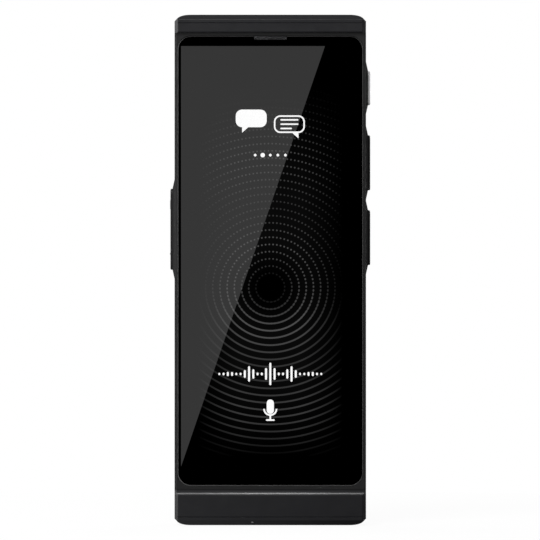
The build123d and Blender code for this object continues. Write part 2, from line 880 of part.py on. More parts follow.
def volume_rocker():
    """Rocker key with raised plus and minus signs, a flange, a fulcrum and two plungers."""
    face_x = half_width + rocker_proud
    head = key_prism(rocker_z, rocker_length, 0, 0, (rocker_inner_x, face_x))
    head = fillet(head.faces().sort_by(Axis.X)[-1].edges(), key_edge_round)
    overhang = key_flange_overhang
    head += key_prism(rocker_z, rocker_length, overhang, overhang, (rocker_inner_x, rocker_flange_x))
    ridge_y = sizes(key_y, key_width)
    head += rod_y(rocker_inner_x, rocker_z, fulcrum_radius, ridge_y)
    sign_x = (face_x - key_edge_round, face_x + sign_proud)
    plunger_tip = switch_tip_x + switch_gap + rocker_press_offset * sin(radians(rocker_swing))
    for side in (-1, 1):
        z = rocker_z + side * rocker_press_offset
        head += rod_x(key_y, z, plunger_radius, (plunger_tip, rocker_inner_x))
        head += block(sign_x, sizes(key_y, sign_size), sizes(z, sign_stroke))
    plus_z = rocker_z + rocker_press_offset
    head += block(sign_x, sizes(key_y, sign_stroke), sizes(plus_z, sign_size))
    return mirror(head, Plane.YZ)


def dome_switch(z):
    """Dome switch on the right side, facing its key."""
    body = block((switch_back_x, switch_face_x), sizes(key_y, switch_width), sizes(z, switch_length))
    return body + rod_x(key_y, z, switch_tip_radius, (switch_face_x, switch_tip_x))


def key_switches_right():
    """Dome switches of the power key and the two talk keys."""
    return Compound(children=[dome_switch(z) for z, length in right_keys])


def key_switches_left():
    """Dome switches under the two ends of the volume rocker."""
    heights = (rocker_z - rocker_press_offset, rocker_z + rocker_press_offset)
    return Compound(children=[mirror(dome_switch(z), Plane.YZ) for z in heights])


def right_feet_z():
    """Heights of the right bracket's feet: between the keys and past both ends."""
    ends = key_flange_overhang + bracket_foot / 2 + fit_gap
    return [
        talk_lower_z - talk_length / 2 - ends,
        (talk_lower_z + talk_upper_z) / 2,
        (talk_upper_z + talk_length / 2 + power_z - power_length / 2) / 2,
        power_z + power_length / 2 + ends,
    ]


def left_feet_z():
    """Heights of the left bracket's feet, past both ends of the rocker."""
    reach = rocker_length / 2 + key_flange_overhang + rocker_end_gap + bracket_foot / 2
    return [rocker_z - reach, rocker_z + reach]


def key_flex(feet, high):
    """Flexible circuit on the right side with a hole round each foot and a board tail."""
    low = feet[0] - bracket_foot / 2
    y = sizes(key_y, key_flex_width)
    flex = block((key_flex_x, switch_back_x), y, (low, high))
    tail_y = (board_back_y, board_back_y + key_flex_thickness)
    flex += block((switch_back_x - key_flex_tail, switch_back_x), tail_y, tail_z)
    for foot in feet:
        hole_y = sizes(key_y, bracket_foot_width + 2 * fit_gap)
        flex -= block((key_flex_x, switch_back_x), hole_y, sizes(foot, bracket_foot + 2 * fit_gap))
    return flex


def bracket(feet, high):
    """Steel strip behind a row of switches, with feet that reach the wall."""
    y = sizes(key_y, bracket_width)
    strip = block((bracket_x, key_flex_x), y, (feet[0] - bracket_foot / 2 - bracket_end, high))
    tail_low, tail_high = tail_z
    notch_y = (y[0], board_back_y + key_flex_thickness + fit_gap)
    strip -= block((bracket_x, key_flex_x), notch_y, (tail_low - fit_gap, tail_high + fit_gap))
    for foot in feet:
        strip += block((bracket_x, inner_x), sizes(key_y, bracket_foot_width), sizes(foot, bracket_foot))
    return strip


def key_flex_right():
    """Flexible circuit behind the power key and the talk keys."""
    feet = right_feet_z()
    return key_flex(feet, feet[-1] + bracket_foot / 2 + bracket_end)


def key_flex_left():
    """Flexible circuit behind the volume rocker."""
    feet = left_feet_z() + [rocker_z]
    flex = key_flex(sorted(feet), tail_z[1])
    board_z = (board_bottom_z - fit_gap, tail_z[1])
    flex -= block((key_flex_x, switch_back_x), (key_y - key_flex_width, board_back_y), board_z)
    return mirror(flex, Plane.YZ)


def key_bracket_right():
    """Bracket that backs the three right switches."""
    feet = right_feet_z()
    return bracket(feet, feet[-1] + bracket_foot / 2 + bracket_end)


def key_bracket_left():
    """Bracket that backs the rocker's switches, with a saddle for its fulcrum."""
    feet = left_feet_z()
    strip = bracket(feet, feet[-1] + bracket_foot / 2 + bracket_end)
    saddle_x = rocker_inner_x - fulcrum_radius - switch_gap
    strip += block((bracket_x, saddle_x), sizes(key_y, bracket_foot_width), sizes(rocker_z, bracket_foot))
    return mirror(strip, Plane.YZ)


# ---------------------------------------------------------------- main board
def main_board():
    """Upper circuit board with a cut-out for the camera."""
    y = (board_front_y, board_back_y)
    board = block((board_left_x, board_right_x), y, (board_bottom_z, board_top_z))
    hole = camera_size + 2 * board_side_gap
    board -= block(sizes(camera_x, hole), y, sizes(camera_z, hole))
    for x, z in main_screws:
        board -= rod_y(x, z, screw_hole_radius, y)
    return board


def chip(z, size, y):
    """Square chip in line with the shield cans."""
    x = (shield_left_x + shield_right_x) / 2
    return block(sizes(x, size), y, sizes(z, size))


def processor_chip():
    """Main processor, in the middle of its shield can."""
    y = (board_back_y, board_back_y + chip_height)
    return chip(sum(processor_shield_z) / 2, processor_size, y)


def memory_chip():
    """Memory, on the board's front behind the processor."""
    y = (board_front_y - chip_height, board_front_y)
    return chip(sum(processor_shield_z) / 2, memory_size, y)


def radio_chip():
    """Mobile radio chip, in the middle of its shield can."""
    y = (board_back_y, board_back_y + chip_height)
    return chip(sum(radio_shield_z) / 2, radio_size, y)


def shield_can(z):
    """Folded sheet can, open towards the board."""
    can = block((shield_left_x, shield_right_x), (board_back_y, board_back_y + shield_height), z)
    inside_x = (shield_left_x + shield_wall, shield_right_x - shield_wall)
    inside_y = (board_back_y, board_back_y + shield_height - shield_wall)
    return can - block(inside_x, inside_y, (z[0] + shield_wall, z[1] - shield_wall))


def processor_shield():
    """Shield can over the processor."""
    return shield_can(processor_shield_z)


def radio_shield():
    """Shield can over the radio chip."""
    return shield_can(radio_shield_z)


def board_connectors():
    """Battery and board link sockets on the main board, link and display sockets below."""
    upper_y = (board_back_y, connector_back_y)
    upper_z = (board_connector_z, board_connector_z + connector_depth)
    lower_z = (link_lower_z, link_lower_z + connector_depth)
    display_z = (display_socket_z, display_socket_z + connector_depth)
    across = sizes(link_connector_x, connector_length)
    display_y = (sub_board_front_y - connector_height, sub_board_front_y)
    sockets = [
        block(sizes(battery_connector_x, connector_length), upper_y, upper_z),
        block(across, upper_y, upper_z),
        block(across, (sub_board_back_y, link_lower_back_y), lower_z),
        block((-display_ribbon_half_width, display_ribbon_half_width), display_y, display_z),
    ]
    for board_y, z in ((board_back_y, upper_z[0]), (sub_board_back_y, coax_lower_z - coax_socket)):
        socket_y = (board_y, board_y + 2 * coax_height)
        sockets.append(block(sizes(-coax_x, coax_socket), socket_y, (z, z + coax_socket)))
    return Compound(children=sockets)


def screw(x, z, seat_y):
    """Board screw with its head on the board at seat_y."""
    head = rod_y(x, z, screw_head_radius, (seat_y, seat_y + screw_head_height))
    slot_y = (seat_y + screw_head_height / 2, seat_y + screw_head_height)
    slot = block(sizes(x, screw_head_radius), slot_y, sizes(z, screw_slot))
    slot += block(sizes(x, screw_slot), slot_y, sizes(z, screw_head_radius))
    return head - slot + rod_y(x, z, screw_radius, (seat_y - screw_length, seat_y))


def board_screws():
    """Screws that hold the two boards to the mid plate's standoffs."""
    screws = [screw(x, z, board_back_y) for x, z in main_screws]
    screws += [screw(side * sub_screws_x, sub_screws_z, sub_board_back_y) for side in (-1, 1)]
    return Compound(children=screws)


# ---------------------------------------------------------------- SIM tray
def sim_pocket_x():
    """Limits of the card's pocket along X."""
    end = sim_tongue_x[1] - sim_pocket_end_wall
    return (end - sim_card_length - 2 * sim_pocket_gap, end)


def sim_tray():
    """Tray with an oval face flush with the side, a pin hole and a card pocket."""
    tray = sim_face(0, (-half_width, sim_face_x))
    tongue_y = sizes(sim_y, sim_tongue_thickness)
    tray += block(sim_tongue_x, tongue_y, sizes(sim_z, sim_tongue_width))
    pocket_y = (tongue_y[1] - sim_card_thickness, tongue_y[1])
    tray -= block(sim_pocket_x(), pocket_y, sizes(sim_z, sim_card_width + 2 * sim_pocket_gap))
    return tray - rod_x(sim_y, sim_z - sim_pin_offset, sim_pin_radius, (-half_width, sim_face_x))


def sim_card():
    """Card that lies in the tray's pocket."""
    x = sim_pocket_x()
    y_high = sim_y + sim_tongue_thickness / 2
    card_x = (x[0] + sim_pocket_gap, x[1] - sim_pocket_gap)
    return block(card_x, (y_high - sim_card_thickness, y_high), sizes(sim_z, sim_card_width))


def sim_connector():
    """Metal slot on the main board that the tray slides into."""
    outer_z = sizes(sim_z, 2 * sim_shell_half)
    x = (board_left_x + board_side_gap, sim_shell_right_x)
    shell = block(x, (board_back_y, board_back_y + sim_shell_height), outer_z)
    inside_y = (board_back_y + sim_shell_wall, board_back_y + sim_shell_height - sim_shell_wall)
    inside_z = (outer_z[0] + sim_shell_wall, outer_z[1] - sim_shell_wall)
    return shell - block((x[0], x[1] - sim_shell_wall), inside_y, inside_z)


# ---------------------------------------------------------------- camera and flash
def camera_module():
    """Camera base with a tube that guides the lens."""
    base_y = (plate_back_y, camera_base_y)
    module = block(sizes(camera_x, camera_size), base_y, sizes(camera_z, camera_size))
    bore = lens_radius + lens_bore_gap
    module += rod_y(camera_x, camera_z, bore + camera_tube_wall, (camera_base_y, camera_tube_y))
    bore_front = camera_tube_y + lens_proud - lens_length - fit_gap
    return module - rod_y(camera_x, camera_z, bore, (bore_front, camera_tube_y))


def camera_lens_barrel():
    """Lens barrel that moves along its axis to focus."""
    back = camera_tube_y + lens_proud
    barrel = rod_y(camera_x, camera_z, lens_radius, (back - lens_length, back))
    return barrel - rod_y(camera_x, camera_z, lens_bowl_radius, (back - lens_bowl_depth, back))


def camera_window():
    """Pill-shaped window over the camera and the flash, flush with the cover."""
    y = (back_y - window_thickness, back_y)
    return stadium_xz(camera_x, window_z, window_width, window_length, y)


def camera_trim():
    """Metal ring round the window, with a shelf that carries it."""
    width = window_width + 2 * trim_width
    length = window_length + 2 * trim_width
    shelf_back = back_y - window_thickness
    shelf_y = (shelf_back - trim_shelf_thickness, shelf_back)
    ring = stadium_xz(camera_x, window_z, width, length, (shelf_y[0], back_y))
    gap = 2 * trim_gap
    ring -= stadium_xz(camera_x, window_z, window_width + gap, window_length + gap, (shelf_back, back_y))
    inside = window_width - 2 * trim_shelf_width
    inside_length = window_length - 2 * trim_shelf_width
    return ring - stadium_xz(camera_x, window_z, inside, inside_length, shelf_y)


def flash_led():
    """Flash light on the main board."""
    y = (board_back_y, board_back_y + flash_height)
    return block(sizes(camera_x, flash_size), y, sizes(flash_z, flash_size))


def flash_light_guide():
    """Clear rod that carries the flash's light to the window."""
    y = (board_back_y + flash_height, back_y - window_thickness)
    return rod_y(camera_x, flash_z, light_guide_radius, y)


# ---------------------------------------------------------------- battery
def battery_cell():
    """Pouch cell on the mid plate."""
    across = (-battery_half_width, battery_half_width)
    outline = rounded(across, (battery_bottom_z, battery_top_z), battery_corner)
    cell = plate_xz(outline, (battery_front_y, battery_back_y))
    return fillet(cell.faces().sort_by(Axis.Y)[-1].edges(), battery_edge_round)


def battery_adhesive():
    """Adhesive sheet under the cell."""
    x = battery_half_width - adhesive_inset
    z = (battery_bottom_z + adhesive_inset, battery_top_z - adhesive_inset)
    return block((-x, x), (plate_back_y, battery_front_y), z)


def protection_y():
    """Depth limits of the cell's protection board."""
    low = battery_front_y + protection_rise
    return (low, low + protection_thickness)


def battery_protection_board():
    """Small board on the cell's upper edge."""
    x = sizes(0, protection_width)
    return block(x, protection_y(), (battery_top_z, battery_top_z + protection_height))


def battery_ribbon():
    """Ribbon from the protection board up to its socket on the main board."""
    start_z = battery_top_z + protection_height
    low_y = sum(protection_y()) / 2
    high_y = connector_back_y + ribbon_thickness / 2
    middle_z = (start_z + board_connector_z) / 2
    end = board_connector_z + connector_depth
    points = [(low_y, start_z), (low_y, middle_z), (high_y, middle_z), (high_y, end)]
    return ribbon(points, ribbon_bend, sizes(battery_connector_x, battery_ribbon_width))


# ---------------------------------------------------------------- lower board and socket
def sub_board():
    """Lower circuit board that carries the charging socket."""
    y = (sub_board_front_y, sub_board_back_y)
    board = block(sizes(0, 2 * sub_board_half_width), y, (sub_board_bottom_z, sub_board_top_z))
    board += block((-sub_board_wing, sub_board_wing), y, (sub_board_wing_z, sub_board_top_z))
    notch_x = port_outer_width / 2 + fit_gap
    board -= block((-notch_x, notch_x), y, (sub_board_bottom_z, port_recess + port_length + fit_gap))
    for side in (-1, 1):
        board -= rod_y(side * sub_screws_x, sub_screws_z, screw_hole_radius, y)
    return board


def usb_c_shell():
    """Oval metal shell of the charging socket, with legs on the board."""
    z = (port_recess, port_recess + port_length)
    shell = plate_xy(port_outline(0), z)
    shell -= plate_xy(port_outline(-port_shell_wall), (z[0], z[1] - port_back_wall))
    leg_y = (sub_board_back_y, sub_board_back_y + port_shell_wall)
    leg_x = (port_outer_width / 2 - port_leg_reach, port_outer_width / 2 + port_leg_reach)
    legs_z = (sub_board_bottom_z + port_leg_inset, z[1] - port_leg_inset)
    for side in (-1, 1):
        x = sorted((side * leg_x[0], side * leg_x[1]))
        leg = block(x, leg_y, legs_z)
        shell += leg - plate_xy(port_outline(-port_shell_wall / 2), z)
    return shell


def usb_c_tongue():
    """Contact tongue in the middle of the charging socket."""
    z = (port_recess + tongue_setback, port_recess + port_length - port_back_wall)
    y = sizes(sub_board_y, tongue_thickness)
    return block(sizes(0, tongue_width), y, z)


def microphones():
    """Microphones at the bottom of the lower board and the top of the main board."""
    lower_y = (sub_board_front_y - mic_height, sub_board_front_y)
    lower_z = (sub_board_bottom_z, sub_board_bottom_z + mic_size)
    upper_y = (board_front_y - mic_height, board_front_y)
    upper_z = (board_top_z - mic_size, board_top_z)
    return Compound(children=[
        block(sizes(mic_x, mic_size), lower_y, lower_z),
        block(sizes(mic_top_x, mic_size), upper_y, upper_z),
    ])


def board_link_ribbon():
    """Ribbon over the battery that joins the two boards."""
    upper_y = connector_back_y + ribbon_thickness / 2
    lower_y = link_lower_back_y + ribbon_thickness / 2
    over_y = battery_back_y + ribbon_thickness / 2
    upper_z = board_connector_z
    bend_high = (battery_top_z + protection_height + upper_z) / 2
    points = [
        (upper_y, upper_z + connector_depth),
        (upper_y, bend_high),
        (over_y, bend_high),
        (over_y, speaker_bottom_z - 1),
        (lower_y, speaker_bottom_z - 1),
        (lower_y, link_lower_z),
    ]
    return ribbon(points, ribbon_bend, sizes(link_connector_x, link_width))


# ---------------------------------------------------------------- speaker and motor
def speaker_y():
    """Depth limits of the speaker's enclosure."""
    back = cover_inner_y - speaker_mesh_thickness - driver_front_gap
    return (battery_front_y, back)


def driver_limits():
    """Limits of the driver's basket, in the middle of the enclosure."""
    back = speaker_y()[1]
    return sizes(speaker_x, driver_width), (back - driver_depth, back), sizes(speaker_z, driver_height)


def speaker_enclosure():
    """Closed chamber behind the driver, open where the driver sits."""
    x = (speaker_left_x, speaker_right_x)
    y = speaker_y()
    z = (speaker_bottom_z, speaker_top_z)
    box = block(x, y, z)
    inner_span = (x[0] + speaker_wall, x[1] - speaker_wall)
    inner_y = (y[0] + speaker_wall, y[1] - speaker_wall)
    box -= block(inner_span, inner_y, (z[0] + speaker_wall, z[1] - speaker_wall))
    hole_x, hole_y, hole_z = driver_limits()
    return box - block(hole_x, (y[1] - speaker_wall, y[1]), hole_z)


def speaker_driver():
    """Driver with a shallow cone that faces the grille."""
    x, y, z = driver_limits()
    cone_y = (y[1] - driver_cone_depth, y[1])
    return block(x, y, z) - rod_y(speaker_x, speaker_z, driver_cone_radius, cone_y)


def speaker_gasket():
    """Foam ring between the driver and the mesh on the back cover."""
    x, y, z = driver_limits()
    ring_y = (y[1], cover_inner_y - speaker_mesh_thickness)
    inner_span = (x[0] + gasket_ring, x[1] - gasket_ring)
    return block(x, ring_y, z) - block(inner_span, ring_y, (z[0] + gasket_ring, z[1] - gasket_ring))


def speaker_mesh():
    """Dust mesh on the inside of the grille."""
    x, y, z = driver_limits()
    return block(x, (cover_inner_y - speaker_mesh_thickness, cover_inner_y), z)


def vibration_motor_case():
    """Motor case with the stub that carries the weight's shaft."""
    case = rod_x(motor_y, motor_z, motor_radius, (motor_left_x, motor_right_x))
    bore_x = (motor_right_x - motor_length / 2, motor_right_x)
    return case - rod_x(motor_y, motor_z, motor_shaft_radius + motor_shaft_gap, bore_x)


def vibration_motor_weight():
    """Half-round weight on its shaft, hanging below the axis."""
    weight_x = (motor_right_x + weight_gap, motor_right_x + weight_gap + weight_length)
    weight = rod_x(motor_y, motor_z, weight_radius, weight_x)
    upper_z = (motor_z, motor_z + weight_radius)
    weight -= block(weight_x, sizes(motor_y, 2 * weight_radius), upper_z)
    weight += rod_x(motor_y, motor_z, weight_hub_radius, weight_x)
    shaft_x = (motor_right_x - motor_length / 2 + motor_shaft_gap, weight_x[1])
    return weight + rod_x(motor_y, motor_z, motor_shaft_radius, shaft_x)


def motor_boot():
    """Rubber boot that holds the motor on the mid plate."""
    x = (motor_left_x + boot_margin / 2, motor_right_x - boot_margin / 2)
    reach = motor_radius + boot_margin
    boot = block(x, (plate_back_y, motor_y + reach), (motor_z - reach, motor_z + reach))
    return boot - rod_x(motor_y, motor_z, motor_radius, x)


# ---------------------------------------------------------------- antennas and coax
def antenna_coax():
    """Coax along the battery's side, from the main board to the lower board."""
    upper_y = board_back_y + coax_height
    lower_y = sub_board_back_y + coax_height
    top_z = board_connector_z
    points = [
        (-coax_x, upper_y, top_z),
        (-coax_x, upper_y, top_z - coax_bend),
        (-coax_x, lower_y, top_z - coax_slope_end),
        (-coax_x, lower_y, coax_lower_z),
    ]
    path = FilletPolyline(*points, radius=coax_bend)
    start = Plane(origin=points[0], z_dir=(0, 0, -1))
    return sweep(start * Circle(coax_radius), path=path)


def antennas():
    """Printed antennas: one inside the lower cap, one inside the back cover."""
    lower_y = (front_y + cap_wall, front_y + cap_wall + antenna_thickness)
    lower_z = (cap_wall + fit_gap, cap_wall + fit_gap + antenna_height)
    lower = block((-antenna_half_width, antenna_half_width), lower_y, lower_z)
    lower -= block(sizes(0, antenna_slot), lower_y, (lower_z[0], sum(lower_z) / 2))
    upper_y = (cover_inner_y - antenna_thickness, cover_inner_y)
    upper_top = top_seam_z - upper_antenna_drop
    upper_z = (upper_top - upper_antenna_length, upper_top)
    left_x = -(inner_x - upper_antenna_side_gap)
    right_x = camera_x - window_width / 2 - trim_width - upper_antenna_camera_gap
    upper = block((left_x, right_x), upper_y, upper_z)
    slot_z = (upper_z[0] + antenna_height, upper_z[1] - antenna_height)
    upper -= block((left_x, left_x + antenna_slot), upper_y, slot_z)
    return Compound(children=[lower, upper])


# ---------------------------------------------------------------- cap screws
def cap_screw(x):
    """Lower cap screw, driven down from inside the frame."""
    head_z = (cavity_bottom_z, cavity_bottom_z + screw_head_height)
    body = rod_z(x, 0, screw_head_radius, head_z)
    slot_z = (head_z[1] - screw_head_height / 2, head_z[1])
    body -= block(sizes(x, screw_head_radius), sizes(0, screw_slot), slot_z)
    body -= block(sizes(x, screw_slot), sizes(0, screw_head_radius), slot_z)
    return body + rod_z(x, 0, screw_radius, (cavity_bottom_z - cap_screw_length, cavity_bottom_z))


def cap_screws():
    """Four screws that join the end caps to the frame."""
    lower = [cap_screw(side * cap_screw_x) for side in (-1, 1)]
    middle_z = (cavity_bottom_z + cavity_top_z) / 2
    upper = [mirror(body, Plane.XY.offset(middle_z)) for body in lower]
    return Compound(children=lower + upper)


parts = {
    "front_frame": front_frame,
    "top_cap": top_cap,
    "bottom_cap": bottom_cap,
    "back_cover": back_cover,
    "back_cover_tape": back_cover_tape,
    "cover_glass": cover_glass,
    "glass_ink_border": glass_ink_border,
    "glass_tape": glass_tape,
    "display_panel": display_panel,
    "display_foam": display_foam,
    "display_ribbon": display_ribbon,
    "mid_plate": mid_plate,
    "earpiece_mesh": earpiece_mesh,
    "earpiece_receiver": earpiece_receiver,
    "power_button": power_button,
    "talk_button_upper": talk_button_upper,
    "talk_button_lower": talk_button_lower,
    "volume_rocker": volume_rocker,
    "key_switches_right": key_switches_right,
    "key_switches_left": key_switches_left,
    "key_flex_right": key_flex_right,
    "key_flex_left": key_flex_left,
    "key_bracket_right": key_bracket_right,
    "key_bracket_left": key_bracket_left,
    "main_board": main_board,
    "processor_chip": processor_chip,
    "memory_chip": memory_chip,
    "radio_chip": radio_chip,
    "processor_shield": processor_shield,
    "radio_shield": radio_shield,
    "board_connectors": board_connectors,
    "board_screws": board_screws,
    "sim_connector": sim_connector,
    "sim_tray": sim_tray,
    "sim_card": sim_card,
    "camera_module": camera_module,
    "camera_lens_barrel": camera_lens_barrel,
    "camera_window": camera_window,
    "camera_trim": camera_trim,
    "flash_led": flash_led,
    "flash_light_guide": flash_light_guide,
    "battery_cell": battery_cell,
    "battery_adhesive": battery_adhesive,
    "battery_protection_board": battery_protection_board,
    "battery_ribbon": battery_ribbon,
    "sub_board": sub_board,
    "board_link_ribbon": board_link_ribbon,
    "usb_c_shell": usb_c_shell,
    "usb_c_tongue": usb_c_tongue,
    "microphones": microphones,
    "speaker_enclosure": speaker_enclosure,
    "speaker_driver": speaker_driver,
    "speaker_gasket": speaker_gasket,
    "speaker_mesh": speaker_mesh,
    "vibration_motor_case": vibration_motor_case,
    "vibration_motor_weight": vibration_motor_weight,
    "motor_boot": motor_boot,
    "antenna_coax": antenna_coax,
    "antennas": antennas,
    "cap_screws": cap_screws,
}

os.makedirs("parts", exist_ok=True)
for name, build in parts.items():
    export_step(build(), "parts/" + name + ".step")
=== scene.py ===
import math

import bmesh
import bpy
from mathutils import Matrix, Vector


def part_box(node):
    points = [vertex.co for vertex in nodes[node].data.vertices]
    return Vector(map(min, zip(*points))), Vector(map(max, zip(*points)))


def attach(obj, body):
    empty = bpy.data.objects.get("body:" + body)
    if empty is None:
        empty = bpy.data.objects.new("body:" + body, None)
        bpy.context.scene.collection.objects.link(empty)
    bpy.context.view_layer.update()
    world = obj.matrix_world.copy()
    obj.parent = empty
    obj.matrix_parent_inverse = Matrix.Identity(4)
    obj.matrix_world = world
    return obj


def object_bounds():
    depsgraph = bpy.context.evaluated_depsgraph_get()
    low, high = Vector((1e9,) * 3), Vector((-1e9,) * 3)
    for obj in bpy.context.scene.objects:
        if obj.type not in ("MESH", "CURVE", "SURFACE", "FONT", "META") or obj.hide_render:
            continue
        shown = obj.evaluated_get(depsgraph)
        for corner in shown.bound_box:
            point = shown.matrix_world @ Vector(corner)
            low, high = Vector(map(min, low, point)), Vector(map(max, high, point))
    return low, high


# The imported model: the housing's pieces, the keys, the tray, the lens and the motor's weight.
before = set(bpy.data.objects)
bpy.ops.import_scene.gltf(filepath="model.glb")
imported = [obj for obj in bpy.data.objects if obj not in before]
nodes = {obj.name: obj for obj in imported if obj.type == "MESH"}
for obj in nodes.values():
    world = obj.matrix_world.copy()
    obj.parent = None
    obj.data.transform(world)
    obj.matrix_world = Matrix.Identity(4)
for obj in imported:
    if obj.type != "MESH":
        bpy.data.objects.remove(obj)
cad_low, cad_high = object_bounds()
MM = 0.001

# ---------------------------------------- the view
# Size of a pixel at the glass, and where the view has the body's middle and bottom.
IMAGE_PIXELS = 540
PIXEL = 0.2777 * MM
BODY_CENTRE_PIXEL_X = 270.29
BODY_BOTTOM_PIXEL_Y = 525.25
LENS = 400.0
SENSOR = 36.0
CLIP_END = 10.0


def pixel_x(column):
    """X in metres of a pixel column of the view."""
    return (column - BODY_CENTRE_PIXEL_X) * PIXEL


def pixel_z(row):
    """Z in metres of a pixel row of the view."""
    return (BODY_BOTTOM_PIXEL_Y - row) * PIXEL


# ---------------------------------------- measures taken from the frame
glass_low, glass_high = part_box("cover_glass")
panel_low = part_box("display_panel")[0]
ink_low, ink_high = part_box("glass_ink_border")
window_low, window_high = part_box("camera_window")
lens_low, lens_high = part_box("camera_lens_barrel")
guide_low, guide_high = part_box("flash_light_guide")
tongue_low, tongue_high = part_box("usb_c_tongue")
ear_low, ear_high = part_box("earpiece_mesh")
card_low, card_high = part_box("sim_card")
led_low, led_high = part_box("flash_led")
battery_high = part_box("battery_cell")[1]
bottom_low, bottom_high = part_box("bottom_cap")
top_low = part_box("top_cap")[0]
rocker_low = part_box("volume_rocker")[0]


def middle(low, high):
    """Centre of a box."""
    return (low + high) / 2


# ---------------------------------------- shader helpers
MASK_SOFT = 0.02 * MM
STRIPE_SOFT = 0.15
EDGE_REACH = 0.18 * MM
EDGE_BREAKS = 1.6 * MM
EDGE_TURN = (0.86, 0.995)


class Graph:
    """Nodes and links of a material or a world."""

    def __init__(self, owner):
        owner.use_nodes = True
        self.tree = owner.node_tree
        self.tree.nodes.clear()

    def add(self, kind, **settings):
        """A new node with its settings."""
        node = self.tree.nodes.new(kind)
        for key, value in settings.items():
            setattr(node, key, value)
        return node

    def link(self, start, end):
        """Joins an output to an input."""
        self.tree.links.new(start, end)

    def math(self, operation, first, second=None, third=None):
        """A Math node between sockets and plain numbers."""
        node = self.add("ShaderNodeMath", operation=operation)
        for place, value in enumerate((first, second, third)):
            if value is None:
                continue
            if isinstance(value, (int, float)):
                node.inputs[place].default_value = value
            else:
                self.link(value, node.inputs[place])
        return node.outputs["Value"]

    def product(self, first, *others):
        """Several masks or numbers multiplied."""
        for other in others:
            first = self.math("MULTIPLY", first, other)
        return first

    def ranged(self, value, low, high, start=0.3, end=0.7):
        """Value between start and end spread from low to high."""
        node = self.add("ShaderNodeMapRange")
        node.inputs["From Min"].default_value = start
        node.inputs["From Max"].default_value = end
        node.inputs["To Min"].default_value = low
        node.inputs["To Max"].default_value = high
        self.link(value, node.inputs["Value"])
        return node.outputs["Result"]

    def split(self, vector):
        """X, Y and Z of a vector as sockets."""
        node = self.add("ShaderNodeSeparateXYZ")
        self.link(vector, node.inputs["Vector"])
        return node.outputs["X"], node.outputs["Y"], node.outputs["Z"]

    def mixed(self, factor, first, second):
        """Node whose colour goes from the first to the second."""
        node = self.add("ShaderNodeMix", data_type="RGBA")
        node.inputs["A"].default_value = (*first, 1.0)
        node.inputs["B"].default_value = (*second, 1.0)
        self.link(factor, node.inputs["Factor"])
        return node

    def blend(self, factor, first, second):
        """Shader that goes from the first to the second."""
        mix = self.add("ShaderNodeMixShader")
        self.link(factor, mix.inputs["Fac"])
        self.link(first, mix.inputs[1])
        self.link(second, mix.inputs[2])
        return mix.outputs["Shader"]


